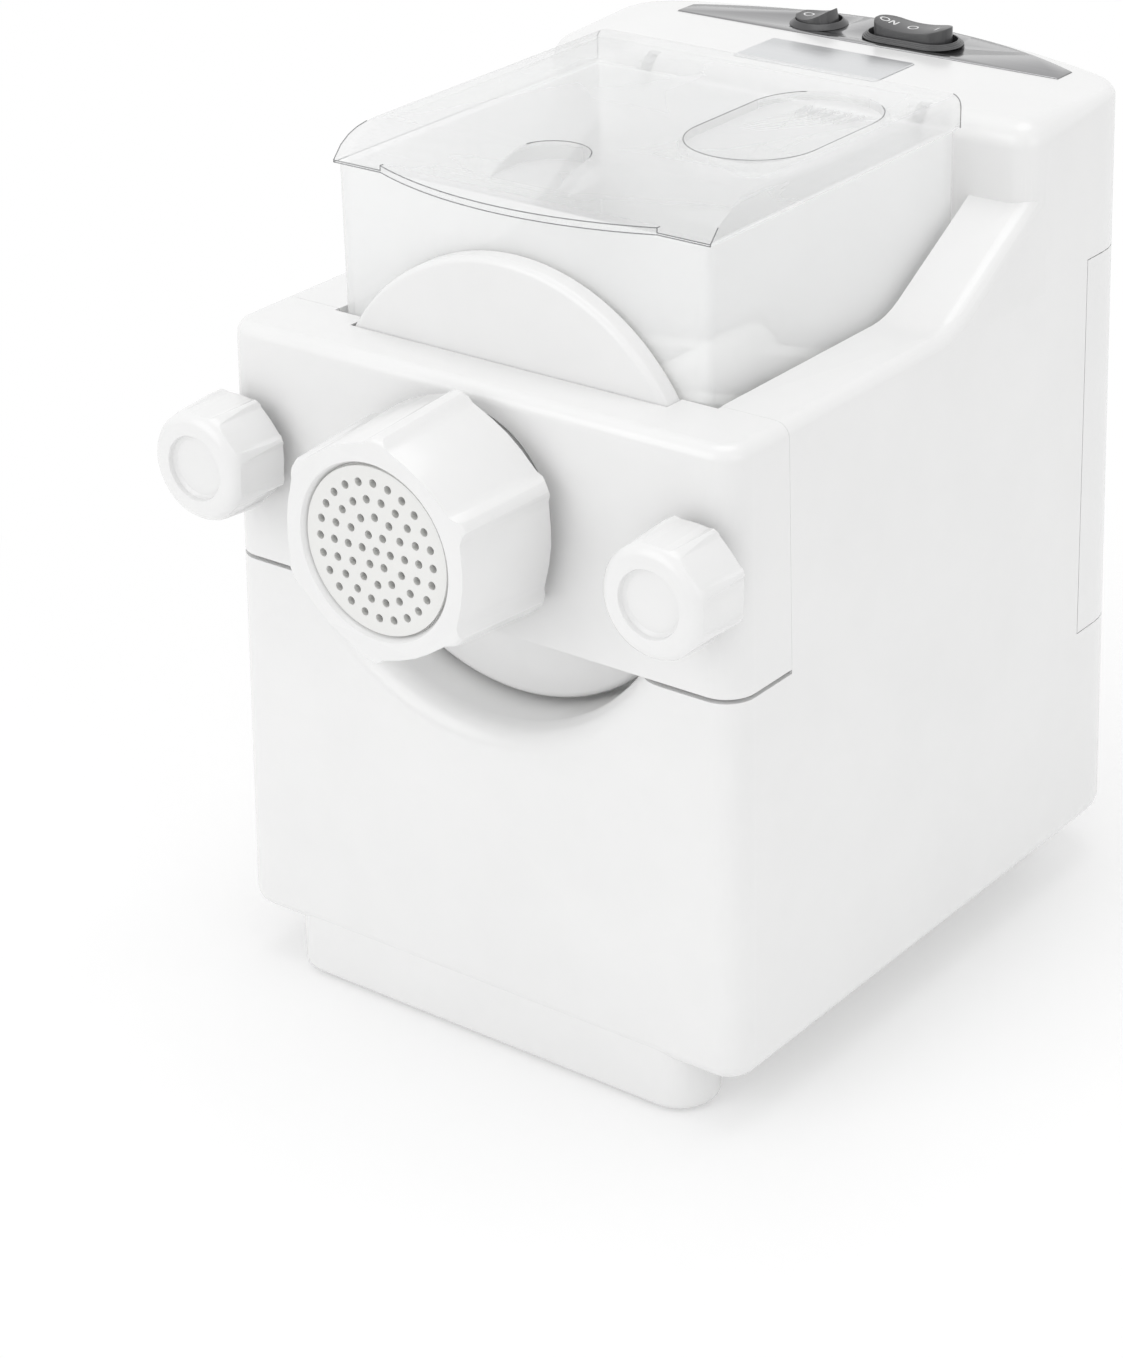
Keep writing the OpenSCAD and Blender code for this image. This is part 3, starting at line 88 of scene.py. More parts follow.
class ClearLooks(bpy.types.PropertyGroup):
    """The clear trough and lid."""
    tint: FloatVectorProperty(name="Tint", description="Colour of the clear plastic's haze",
        subtype="COLOR", size=3, min=0, max=1, default=(0.93, 0.935, 0.935))
    # rim and rim_line: the dark lines along the lid's outer edges are painted shade where its wall is seen
    # edge on
    rim: FloatVectorProperty(name="Rim", description="Colour of the lines along the lid's outer edges",
        subtype="COLOR", size=3, min=0, max=1, default=(0.13, 0.135, 0.14))
    lid_haze: FloatProperty(name="Lid haze", description="Share of the lid's own colour, seen straight on",
        subtype="FACTOR", min=0, max=1, default=0.27)
    trough_haze: FloatProperty(name="Trough haze",
        description="Share of the trough's own colour, seen straight on",
        subtype="FACTOR", min=0, max=1, default=0.54)
    rim_line: FloatProperty(name="Rim line", description="Width of the lines along the lid's outer edges",
        subtype="DISTANCE", unit="LENGTH", min=0.0001, max=0.001, default=0.0004)
    edge: FloatProperty(name="Edge rounding", description="Rounding of the clear parts' edges",
        subtype="DISTANCE", unit="LENGTH", min=0, max=0.002, default=0.0005)


class ControlLooks(bpy.types.PropertyGroup):
    """The control panel, label and switches."""
    panel: FloatVectorProperty(name="Panel", description="Colour of the polished control panel",
        subtype="COLOR", size=3, min=0, max=1, default=(0.36, 0.36, 0.365))
    label: FloatVectorProperty(name="Label", description="Colour of the brushed label plate",
        subtype="COLOR", size=3, min=0, max=1, default=(0.78, 0.79, 0.80))
    switch: FloatVectorProperty(name="Switches", description="Colour of the switches",
        subtype="COLOR", size=3, min=0, max=1, default=(0.058, 0.058, 0.06))
    mark: FloatVectorProperty(name="Marks", description="Colour of the marks printed on the rockers",
        subtype="COLOR", size=3, min=0, max=1, default=(0.75, 0.75, 0.75))
    mark_line: FloatProperty(name="Mark line", description="Width of a mark's line",
        subtype="DISTANCE", unit="LENGTH", min=0.0002, max=0.002, default=0.0006)


class FastenerSizes(bpy.types.PropertyGroup):
    """Screw heads and feet."""
    # The screws' cross recesses are painted shade, drawn as flat dark crosses; this is their width.
    recess_shade_width: FloatProperty(name="Recess width", description="Width of a screw's cross recess",
        subtype="DISTANCE", unit="LENGTH", min=0.0002, max=0.002, default=0.0009)
    foot_rings: IntProperty(name="Foot rings", description="Shallow rings around the underside of a foot",
        min=1, max=5, default=2)


class StageLooks(bpy.types.PropertyGroup):
    """Floor and lamps."""
    sky: FloatProperty(name="Soft light", description="Level of the even light from all round",
        min=0, max=2, default=0.82)
    key: FloatProperty(name="Key lamp", description="Power of the large lamp in front on the left",
        subtype="POWER", unit="POWER", min=0, max=200, default=8.0)
    top: FloatProperty(name="Top lamp", description="Power of the large lamp overhead",
        subtype="POWER", unit="POWER", min=0, max=200, default=9.0)
    fill: FloatProperty(name="Fill lamp", description="Power of the large lamp on the right",
        subtype="POWER", unit="POWER", min=0, max=200, default=3.0)
    floor: FloatVectorProperty(name="Floor", description="Colour of the floor",
        subtype="COLOR", size=3, min=0, max=1, default=(0.97, 0.97, 0.97))


# ---- nodes -------------------------------------------------------------------

def give(tree, socket, value):
    """Links another node's output to a socket, or sets the socket's own value."""
    if isinstance(value, bpy.types.NodeSocket):
        tree.links.new(value, socket)
    else:
        socket.default_value = value


def feed(tree, inputs, **values):
    """Gives inputs their values by name, with an underscore for a space."""
    for name, value in values.items():
        give(tree, inputs[name.replace("_", " ")], value)


def add(tree, kind, **values):
    """A node with some of its attributes or inputs given."""
    node = tree.nodes.new(kind)
    for name, value in values.items():
        if hasattr(node, name):
            setattr(node, name, value)
        else:
            feed(tree, node.inputs, **{name: value})
    return node


def calc(tree, operation, *values, clamp=False):
    """The result of a calculation on numbers and on other nodes' outputs."""
    node = add(tree, "ShaderNodeMath", operation=operation, use_clamp=clamp)
    for socket, value in zip(node.inputs, values):
        give(tree, socket, value)
    return node.outputs[0]


def remap(tree, value, given, wanted, interpolation="LINEAR"):
    """A value carried from one range to another."""
    node = add(tree, "ShaderNodeMapRange", interpolation_type=interpolation, Value=value,
        From_Min=given[0], From_Max=given[1], To_Min=wanted[0], To_Max=wanted[1])
    return node.outputs["Result"]


def mixed(tree, share, first, second):
    """A colour between two others."""
    node = add(tree, "ShaderNodeMix", data_type="RGBA", Factor=share)
    give(tree, node.inputs[6], first)
    give(tree, node.inputs[7], second)
    return node.outputs[2]


def noise(tree, where, scale, detail, roughness):
    """Noise over the surface, from 0 to 1."""
    node = add(tree, "ShaderNodeTexNoise", Vector=where, Scale=scale, Detail=detail, Roughness=roughness)
    return node.outputs["Fac"]


def bumped(tree, height, strength, depth):
    """The surface's normal with a height in it."""
    node = add(tree, "ShaderNodeBump", Height=height, Strength=strength, Distance=depth)
    return node.outputs["Normal"]


def looked_at(tree):
    """1 where the camera, a reflection or a clear part looks at the surface, and 0 for other light."""
    path = add(tree, "ShaderNodeLightPath").outputs
    seen = calc(tree, "MAXIMUM", path["Is Camera Ray"], path["Is Glossy Ray"])
    return calc(tree, "MAXIMUM", seen, path["Is Transmission Ray"])


def fresh_material(name):
    """A new material, its node tree and its shader."""
    material = bpy.data.materials.new(name)
    material.use_nodes = True
    return material, material.node_tree, material.node_tree.nodes["Principled BSDF"]


def group_shell(name, inputs, outputs):
    """An empty node group, the values it is given and the results it puts out."""
    tree = bpy.data.node_groups.new(name, "ShaderNodeTree")
    for socket, kind, value in inputs:
        tree.interface.new_socket(name=socket, in_out="INPUT", socket_type=kind).default_value = value
    for socket, kind in outputs:
        tree.interface.new_socket(name=socket, in_out="OUTPUT", socket_type=kind)
    return tree, tree.nodes.new("NodeGroupInput").outputs, tree.nodes.new("NodeGroupOutput").inputs


def place(tree, group, **values):
    """The results of a node group that is placed in a material with its own values."""
    return add(tree, "ShaderNodeGroup", node_tree=group, **values).outputs


# ---- shared effects ----------------------------------------------------------

def moulded_grain_group():
    """Fine moulded texture with slow clouds of tone and gloss."""
    if "moulded grain" in bpy.data.node_groups:
        return bpy.data.node_groups["moulded grain"]
    tree, given, out = group_shell("moulded grain",
        [("Base", "NodeSocketColor", (0.8, 0.8, 0.8, 1)), ("Shade", "NodeSocketColor", (0.7, 0.7, 0.7, 1)),
         ("Size", "NodeSocketFloat", 0.001), ("Roughness", "NodeSocketFloat", 0.3),
         ("Spread", "NodeSocketFloat", 0.08)],
        [("Color", "NodeSocketColor"), ("Roughness", "NodeSocketFloat"), ("Height", "NodeSocketFloat")])
    where = add(tree, "ShaderNodeTexCoord").outputs["Object"]
    fine = noise(tree, where, scale=calc(tree, "DIVIDE", 1.0, given["Size"]), detail=3.0, roughness=0.55)
    clouds = noise(tree, where, scale=22.0, detail=4.0, roughness=0.6)
    tone = remap(tree, clouds, (0.35, 0.68), (0.0, 0.5))
    both = calc(tree, "ADD", calc(tree, "SUBTRACT", fine, 0.5), clouds)
    feed(tree, out, Color=mixed(tree, tone, given["Base"], given["Shade"]), Height=fine,
        Roughness=calc(tree, "MULTIPLY_ADD", both, given["Spread"], given["Roughness"]))
    return tree


def edge_wear_group():
    """A colour that turns to the worn one along handled outer edges, broken up by noise."""
    if "edge wear" in bpy.data.node_groups:
        return bpy.data.node_groups["edge wear"]
    tree, given, out = group_shell("edge wear",
        [("Base", "NodeSocketColor", (0.8, 0.8, 0.8, 1)), ("Worn", "NodeSocketColor", (1, 1, 1, 1)),
         ("Amount", "NodeSocketFloat", 0.5)],
        [("Color", "NodeSocketColor")])
    edges = remap(tree, add(tree, "ShaderNodeNewGeometry").outputs["Pointiness"], (0.52, 0.62), (0.0, 1.0))
    where = add(tree, "ShaderNodeTexCoord").outputs["Object"]
    chips = noise(tree, where, scale=420.0, detail=5.0, roughness=0.7)
    worn = calc(tree, "MULTIPLY", calc(tree, "MULTIPLY", edges, chips), given["Amount"], clamp=True)
    feed(tree, out, Color=mixed(tree, worn, given["Base"], given["Worn"]))
    return tree


def brushing_group():
    """Long fine scratches along one axis."""
    if "brushing" in bpy.data.node_groups:
        return bpy.data.node_groups["brushing"]
    tree, given, out = group_shell("brushing",
        [("Stretch", "NodeSocketVector", (1.0, 1.0, 1.0)), ("Roughness", "NodeSocketFloat", 0.3),
         ("Spread", "NodeSocketFloat", 0.2), ("Base", "NodeSocketColor", (0.7, 0.7, 0.7, 1)),
         ("Shade", "NodeSocketColor", (0.5, 0.5, 0.5, 1))],
        [("Color", "NodeSocketColor"), ("Roughness", "NodeSocketFloat"), ("Height", "NodeSocketFloat")])
    stretched = add(tree, "ShaderNodeVectorMath", operation="MULTIPLY")
    give(tree, stretched.inputs[0], add(tree, "ShaderNodeTexCoord").outputs["Object"])
    give(tree, stretched.inputs[1], given["Stretch"])
    lines = noise(tree, stretched.outputs[0], scale=1.0, detail=4.0, roughness=0.7)
    feed(tree, out, Color=mixed(tree, lines, given["Shade"], given["Base"]), Height=lines,
        Roughness=calc(tree, "MULTIPLY_ADD", lines, given["Spread"], given["Roughness"]))
    return tree


# ---- finishes ----------------------------------------------------------------

def with_alpha(color):
    """A colour with its alpha."""
    return (*color, 1.0)


def shaded(color, share):
    """A colour at a share of its level, with its alpha."""
    return (*(level*share for level in color), 1.0)


def moulded(name, color, roughness, size=0.0009, depth=0.00004, spread=0.08, worn=None, wear=0.0, coat=0.0):
    """Moulded plastic or rubber: grain in its height and gloss, and slow clouds of tone."""
    if name in bpy.data.materials:
        return bpy.data.materials[name]
    material, tree, shader = fresh_material(name)
    grain = place(tree, moulded_grain_group(), Base=with_alpha(color), Shade=shaded(color, 0.95),
        Size=size, Roughness=roughness - spread*0.5, Spread=spread)
    tone = grain["Color"]
    if worn:
        tone = place(tree, edge_wear_group(), Base=tone, Worn=with_alpha(worn), Amount=wear)["Color"]
    feed(tree, shader.inputs, Base_Color=tone, Roughness=grain["Roughness"], IOR=1.5,
        Normal=bumped(tree, grain["Height"], strength=0.35, depth=depth), Coat_Weight=coat,
        Coat_Roughness=0.12)
    return material


def metal(name, color, roughness, stretch, spread=0.18, depth=0.00002):
    """Turned, brushed or cast metal."""
    if name in bpy.data.materials:
        return bpy.data.materials[name]
    material, tree, shader = fresh_material(name)
    brushed = place(tree, brushing_group(), Base=with_alpha(color), Shade=shaded(color, 0.82),
        Stretch=stretch, Roughness=roughness - spread*0.5, Spread=spread)
    feed(tree, shader.inputs, Base_Color=brushed["Color"], Roughness=brushed["Roughness"], Metallic=1.0,
        Normal=bumped(tree, brushed["Height"], strength=0.4, depth=depth))
    return material


def clear_plastic(name, color, edge_shade, facing_share, edge_share):
    """Thin clear plastic: what is behind it shows through, less so where it is seen edge on. Seen edge on,
    its colour also darkens: painted shade.

    It lets nearly all of the lamps' light through, so that what is inside isn't in its shade.
    """
    if name in bpy.data.materials:
        return bpy.data.materials[name]
    material, tree, shader = fresh_material(name)
    grain = place(tree, moulded_grain_group(), Base=with_alpha(color), Shade=shaded(color, 0.97),
        Size=0.004, Roughness=0.05, Spread=0.05)
    steepness = 2.5
    light_let_in = 0.95
    facing = add(tree, "ShaderNodeLayerWeight", Blend=0.35).outputs["Facing"]
    edge_on = calc(tree, "POWER", facing, steepness)
    share = remap(tree, edge_on, (0.0, 1.0), (facing_share, edge_share))
    path = add(tree, "ShaderNodeLightPath").outputs
    lighting = calc(tree, "MAXIMUM", path["Is Shadow Ray"], path["Is Diffuse Ray"])
    share_kept = calc(tree, "MULTIPLY_ADD", lighting, -light_let_in, 1.0)
    # painted shade: the colour darkens to shaded(color, edge_shade) where the wall is seen edge on
    feed(tree, shader.inputs, Base_Color=mixed(tree, edge_on, grain["Color"], shaded(color, edge_shade)),
        Roughness=grain["Roughness"], Normal=bumped(tree, grain["Height"], strength=0.15, depth=0.00003),
        Alpha=calc(tree, "MULTIPLY", share, share_kept, clamp=True), IOR=1.49)
    return material


def shell_white():
    """The case's, nut's and knobs' plastic."""
    looks = bpy.context.scene.pasta_shell
    return moulded("glossy white plastic", looks.white, looks.roughness, size=looks.grain, depth=0.000015,
        spread=0.06, coat=0.25)


def food_plastic():
    """The plastic of the parts that work the dough."""
    return moulded("food white plastic", bpy.context.scene.pasta_shell.food_white, roughness=0.42,
        size=0.0007, depth=0.00003)


def seal():
    """The gasket's and the shaft seal's silicone."""
    return moulded("pale silicone", (0.55, 0.55, 0.53), roughness=0.6, size=0.0006, depth=0.00005)


def steel():
    """The steel of the shafts, studs, washers and screws."""
    return metal("turned steel", (0.62, 0.62, 0.63), roughness=0.3, stretch=(90.0, 2600.0, 90.0))


# ---- pieces ------------------------------------------------------------------

def link(obj):
    """Puts an object into the scene."""
    bpy.context.scene.collection.objects.link(obj)
    return obj


def object_of(name, work, material):
    """A new object from a bmesh."""
    mesh = bpy.data.meshes.new(name)
    work.normal_update()
    work.to_mesh(mesh)
    work.free()
    mesh.materials.append(material)
    return link(bpy.data.objects.new(name, mesh))


def settle(obj, node, angle):
    """Shades a piece smooth up to an angle; it moves with a part's body."""
    obj.data.shade_smooth()
    obj.data.set_sharp_from_angle(angle=math.radians(angle))
    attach(obj, BODY_OF[node])


def new_piece(name, work, material, node, angle=40.0):
    """A piece from a bmesh, which belongs to a part and leaves the part in place."""
    settle(object_of(name, work, material), node, angle)


def dressed(node, name, material, round_by=0.0, angle=32.0, flat=FLAT, reshape=None):
    """A copy of a part with welded vertices, smooth shading and softly rounded edges.

    It stands for the part. reshape works on the welded copy before its edges are rounded. The copy is made
    face by face, without the part's own shading, and a face that is there twice is made once.
    """
    source = frame["nodes"][node].data
    work = bmesh.new()
    corners = [work.verts.new(vert.co) for vert in source.vertices]
    for face in source.polygons:
        try:
            work.faces.new([corners[i] for i in face.vertices])
        except ValueError:
            continue
    bmesh.ops.remove_doubles(work, verts=work.verts, dist=WELD)
    bmesh.ops.dissolve_limit(work, angle_limit=math.radians(flat), verts=work.verts, edges=work.edges)
    if reshape:
        reshape(work)
    obj = object_of(name, work, material)
    if round_by:
        soften(obj, round_by, angle)
    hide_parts(node)
    settle(obj, node, angle)
    return obj


def soften(obj, width, angle):
    """Rounds an object's edges that are sharper than an angle."""
    bevel = obj.modifiers.new("soft edges", "BEVEL")
    bevel.width = width
    bevel.segments = 2
    bevel.limit_method = "ANGLE"
    bevel.angle_limit = math.radians(angle)
    bpy.context.view_layer.update()
    made = bpy.data.meshes.new_from_object(obj.evaluated_get(bpy.context.evaluated_depsgraph_get()))
    obj.modifiers.clear()
    obj.data = made
    made.name = obj.name


def finish_nodes(material, *nodes):
    """Gives parts that keep their own shape their finish."""
    for node in nodes:
        finishes = frame["nodes"][node].data.materials
        finishes.clear()
        finishes.append(material)


def welded(node):
    """A part's mesh with its corners joined."""
    work = bmesh.new()
    work.from_mesh(frame["nodes"][node].data)
    bmesh.ops.remove_doubles(work, verts=work.verts, dist=WELD)
    return work


def circle(work, centre, axis, radius, steps):
    """A ring of new vertices around an axis."""
    side = axis.orthogonal().normalized()
    other = axis.cross(side)
    turns = [2*math.pi*k/steps for k in range(steps)]
    return [work.verts.new(centre + (side*math.cos(t) + other*math.sin(t))*radius) for t in turns]


# ---- white shell -------------------------------------------------------------

class PASTA_OT_shell(bpy.types.Operator):
    """Housing, rear cover and clamp bar in glossy white, and the base in duller plastic"""
    bl_idname = "pasta.shell"
    bl_label = "White shell"

    def execute(self, context):
        looks = context.scene.pasta_shell
        white = shell_white()
        dressed("main_housing", "housing_shell", white, flat=0.05, angle=28, reshape=soft_mouth)
        dressed("rear_cover", "rear_cover_shell", white, flat=0.05, angle=28)
        dressed("crossbar", "clamp_bar_shell", white, flat=0.05, angle=28, reshape=tight_seam)
        under = moulded("underside plastic", looks.food_white, roughness=0.5, size=0.0012, depth=0.00008)
        dressed("base_plate", "base_plate_vented", under, round_by=looks.edge*0.6)
        return {"FINISHED"}


def soft_mouth(work):
    """Rounds the housing's edge around the opening below the clamp bar."""
    looks = bpy.context.scene.pasta_shell
    nut_low, nut_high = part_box("ring_nut")
    bar_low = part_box("crossbar")[0]
    centre = (nut_low.z + nut_high.z)/2
    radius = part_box("bowl")[1].x + looks.mouth_gap
    slack = 0.4*MM
    deepest = bar_low.y + 10*MM
    sharp = 0.5     # in radians

    def on_mouth(at):
        around = abs(math.hypot(at.x, at.z - centre) - radius) < slack
        return around and at.z < bar_low.z + slack and at.y < deepest
    rim = [e for e in work.edges if all(on_mouth(v.co) for v in e.verts) and e.calc_face_angle(0) > sharp]
    if not rim:
        raise RuntimeError("the opening's edge was not found")
    bmesh.ops.bevel(work, geom=rim, offset=looks.mouth, segments=8, profile=0.5, affect="EDGES",
        clamp_overlap=True)


def tight_seam(work):
    """Brings the clamp bar's back face close to the housing."""
    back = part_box("crossbar")[1].y
    slack = 0.02*MM
    closer = 0.7*MM
    for vert in work.verts:
        if vert.co.y > back - slack:
            vert.co.y += closer


# ---- clamp knobs and extruder ------------------------------------------------

class PASTA_OT_clamp(bpy.types.Operator):
    """Clamp knobs, their washers and studs"""
    bl_idname = "pasta.clamp"
    bl_label = "Clamp knobs"

    def execute(self, context):
        looks = context.scene.pasta_shell
        for side in ("left", "right"):
            dressed("knob_" + side, "clamp_knob_" + side, shell_white(), round_by=looks.edge, angle=30)
        finish_nodes(steel(), "washer_left", "washer_right", "clamp_studs")
        return {"FINISHED"}


class PASTA_OT_extruder(bpy.types.Operator):
    """Front disc, ring nut, die, seals, paddle and auger"""
    bl_idname = "pasta.extruder"
    bl_label = "Extruder"

    def execute(self, context):
        looks = context.scene.pasta_shell
        white = shell_white()
        food = food_plastic()
        dressed("extruder_barrel", "front_disc", white, angle=30)
        dressed("ring_nut", "ribbed_ring_nut", white, round_by=looks.edge*1.4, angle=30)
        dressed("die", "shaping_disc", food, angle=30)
        finish_nodes(seal(), "barrel_gasket", "shaft_seal")
        dressed("mixing_paddle", "paddle_arms", food, round_by=looks.edge*1.6, angle=40)
        dressed("auger", "auger_screw", food, angle=40)
        return {"FINISHED"}


# ---- clear trough and lid ----------------------------------------------------

class PASTA_OT_trough(bpy.types.Operator):
    """Clear trough, and clear lid with painted shade lines along its edges"""
    bl_idname = "pasta.trough"
    bl_label = "Clear trough and lid"

    def execute(self, context):
        looks = context.scene.pasta_clear
        # edge_shade sets the painted shade of the clear plastic where it is seen edge on
        cover = clear_plastic("clear lid plastic", looks.tint, edge_shade=0.85,
            facing_share=looks.lid_haze, edge_share=looks.lid_haze + 0.3)
        side = clear_plastic("clear trough plastic", looks.tint, edge_shade=0.9,
            facing_share=looks.trough_haze, edge_share=looks.trough_haze + 0.25)
        # painted shade: the dark lines along the lid's outer edges
        line = clear_plastic("clear plastic rim", looks.rim, edge_shade=1.0,
            facing_share=0.55, edge_share=0.8)
        dressed("bowl", "clear_trough", side, round_by=looks.edge, angle=30)
        dressed("lid", "clear_lid", cover, round_by=looks.edge, angle=30)
        painted_shade_lines("lid", "lid_edge_lines", line, looks.rim_line, angle=38, keep=lid_line_zone())
        return {"FINISHED"}


def lid_line_zone():
    """Tells the lid's edges that get painted shade lines: lip, left bend, recess, scoop and the right back
    corner.
    """
    low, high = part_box("lid")
    top = high.z - 0.3*MM
    back = max(v.co.y for v in frame["nodes"]["lid"].data.vertices if v.co.z > top)
    hooks = back + 1*MM
    back_rim = back - 3*MM
    side_rim = high.x - 6*MM
    lip_bottom = high.z - 11.5*MM
    lip_back = low.y + 13*MM
    left_bend = low.x + 1*MM
    right_bend = high.x - 5*MM
    vents_front = back - 34*MM
    vents_left, vents_right = 30*MM, 59*MM

    def shows(at):
        if at.z < lip_bottom or at.y > hooks:
            return False
        if at.z > top:
            by_vents = at.y > vents_front and vents_left < at.x < vents_right
            return abs(at.x) < side_rim and at.y < back_rim and not by_vents
        return at.y < lip_back or at.x < left_bend or (at.x > right_bend and at.y > back_rim)
    return shows


def painted_shade_lines(node, name, material, width, angle, keep):
    """Thin dark rods along a clear part's outer edges: painted shade where its wall is seen edge on.

    An edge sharper than the angle gets a line where keep says so of its middle.
    """
    work = welded(node)
    bmesh.ops.dissolve_limit(work, angle_limit=math.radians(FLAT), verts=work.verts, edges=work.edges)
    shortest = 0.01*MM
    lines = bmesh.new()
    for edge in work.edges:
        if len(edge.link_faces) != 2 or not edge.is_convex:
            continue
        start, end = (vert.co for vert in edge.verts)
        sharp = edge.calc_face_angle() > math.radians(angle)
        if sharp and (end - start).length > shortest and keep((start + end)/2):
            rod(lines, start, end, width/2)
    work.free()
    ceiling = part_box(node)[1].z + 0.03*MM
    for vert in lines.verts:
        vert.co.z = min(vert.co.z, ceiling)
    new_piece(name, lines, material, node, angle=80)


def rod(work, start, end, radius):
    """A thin five-sided rod between two points, with pointed ends that reach a little past them."""
    sides = 5
    sharpness = 0.6
    axis = (end - start).normalized()
    point = axis*radius*sharpness
    low, high = [circle(work, at, axis, radius, sides) for at in (start, end)]
    low_tip = work.verts.new(start - point)
    high_tip = work.verts.new(end + point)
    for k in range(sides):
        j = (k + 1) % sides
        work.faces.new((low[k], low[j], high[j], high[k]))
        work.faces.new((low_tip, low[j], low[k]))
        work.faces.new((high_tip, high[k], high[j]))


# ---- controls ----------------------------------------------------------------

class PASTA_OT_controls(bpy.types.Operator):
    """Control panel, label plate and rocker switches"""
    bl_idname = "pasta.controls"
    bl_label = "Controls"

    def execute(self, context):
        looks = context.scene.pasta_controls
        polished = metal("polished panel", looks.panel, roughness=0.12, stretch=(20.0, 700.0, 700.0),
            spread=0.03, depth=0.0000004)
        brushed = metal("brushed aluminium", looks.label, roughness=0.34, stretch=(18.0, 3200.0, 3200.0),
            spread=0.2)
        black = moulded("switch black", looks.switch, roughness=0.3, size=0.0005, depth=0.00003, spread=0.1,
            worn=(0.16, 0.16, 0.16), wear=0.7)
        ink = moulded("mark white", looks.mark, roughness=0.45, size=0.0004, depth=0.00001)
        dressed("control_panel", "polished_panel", polished, round_by=0.0003, angle=30)
        dressed("label_plate", "blank_label", brushed, round_by=0.00025, angle=30)
        dressed("power_switch_case", "power_bezel", black, round_by=0.0003, angle=30)
        dressed("mode_switch_case", "mode_bezel", black, round_by=0.0003, angle=30)
        power = dressed("power_rocker", "power_rocker_cap", black, round_by=0.0006, angle=30)
        mode = dressed("mode_rocker", "mode_rocker_cap", black, round_by=0.0006, angle=30)
        printed("power_marks", power, "power_rocker", ink, power_marks(looks.mark_line))
        printed("mode_marks", mode, "mode_rocker", ink, mode_marks(looks.mark_line))
        return {"FINISHED"}


def power_marks(line, tall=3.6*MM):
    """A ring on the left half of the power rocker and a bar on its right half."""
    x, y = middle_of("power_rocker")
    return [ring_mark(x - 3.6*MM, y, 1.7*MM, line), bar_mark((x + 3.4*MM, y - tall/2), (0, tall), line)]


def mode_marks(line, tall=3.6*MM):
    """ON at the left end of the mode rocker, a ring in its middle and a bar at its right end."""
    x, y = middle_of("mode_rocker")
    bottom, top = y - tall/2, y + tall/2
    ends = 9.6*MM
    left = x - ends
    letter_left, letter_right = left + 0.7*MM, left + 2.9*MM
    return [ring_mark(left - 1.9*MM, y, 1.5*MM, line),
        bar_mark((letter_left, bottom), (0, tall), line),
        bar_mark((letter_left, top), (2.2*MM, -tall), line),
        bar_mark((letter_right, bottom), (0, tall), line),
        ring_mark(x, y, 1.7*MM, line),
        bar_mark((x + ends, bottom), (0, tall), line)]


def middle_of(node):
    """The middle of a part, seen from above."""
    low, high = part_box(node)
    return (low.x + high.x)/2, (low.y + high.y)/2


def ring_mark(x, y, radius, line, steps=32):
    """Quads of a printed ring, as lists of (x, y)."""
    inner, outer = radius - line/2, radius + line/2
    quads = []
    for k in range(steps):
        a, b = 2*math.pi*k/steps, 2*math.pi*(k + 1)/steps
        quads.append([(x + r*math.cos(t), y + r*math.sin(t))
            for r, t in ((inner, a), (outer, a), (outer, b), (inner, b))])
    return quads


def bar_mark(start, run, line, steps=8):
    """Quads of a printed bar from a start point along a run of (x, y)."""
    length = math.hypot(*run)
    across = (run[1]/length*line/2, -run[0]/length*line/2)
    quads = []
    for k in range(steps):
        low, high = [(start[0] + run[0]*t, start[1] + run[1]*t) for t in (k/steps, (k + 1)/steps)]
        quads.append([(x + across[0]*side, y + across[1]*side)
            for (x, y), side in ((low, -1), (low, 1), (high, 1), (high, -1))])
    return quads


def printed(name, target, node, ink, marks):
    """Marks laid on the top of a piece, a hair above its surface."""
    tree = BVHTree.FromObject(target, bpy.context.evaluated_depsgraph_get())
    hair = Vector((0, 0, 0.04*MM))
    work = bmesh.new()
    for quads in marks:
        for quad in quads:
            corners = []
            for x, y in quad:
                hit = tree.ray_cast(Vector((x, y, 1.0)), Vector((0, 0, -1)))[0]
                if hit is None:
                    raise RuntimeError("a mark of " + name + " misses its rocker")
                corners.append(work.verts.new(hit + hair))
            work.faces.new(corners)
    bmesh.ops.remove_doubles(work, verts=work.verts, dist=WELD)
    new_piece(name, work, ink, node)


# ---- drive -------------------------------------------------------------------

class PASTA_OT_drive(bpy.types.Operator):
    """Motor, gearbox, shaft and electrics inside the tower"""
    bl_idname = "pasta.drive"
    bl_label = "Drive"

    def execute(self, context):
        nylon = moulded("gear nylon", (0.72, 0.69, 0.60), roughness=0.4, size=0.0005, depth=0.00003)
        cast = metal("cast aluminium", (0.66, 0.67, 0.68), roughness=0.45, stretch=(700.0, 700.0, 700.0),
            depth=0.0001)
        black = moulded("inner black plastic", (0.03, 0.03, 0.03), roughness=0.5, size=0.0006,
            depth=0.00004)
        paint = moulded("motor paint", (0.09, 0.09, 0.1), roughness=0.35, size=0.002, depth=0.00005,
            worn=(0.4, 0.4, 0.4), wear=0.6)
        brass = metal("machined brass", (0.74, 0.55, 0.25), roughness=0.3, stretch=(300.0, 2600.0, 300.0))
        red = moulded("plunger red", (0.5, 0.03, 0.02), roughness=0.35, size=0.0004)
        green = moulded("board green", (0.02, 0.16, 0.06), roughness=0.35, size=0.003, depth=0.00005,
            spread=0.2)
        finish_nodes(nylon, "first_gear", "second_gear", "output_gear")
        finish_nodes(cast, "gearbox_case", "gearbox_cover")
        finish_nodes(steel(), "drive_shaft", "gear_axles", "output_bearings", "motor_rotor",
            "motor_bracket", "gearbox_screws")
        finish_nodes(paint, "motor_case")
        finish_nodes(brass, "motor_pinion")
        finish_nodes(black, "cooling_fan", "interlock_switch")
        finish_nodes(red, "interlock_plunger")
        finish_nodes(green, "control_board")
        return {"FINISHED"}


# ---- feet and fasteners ------------------------------------------------------

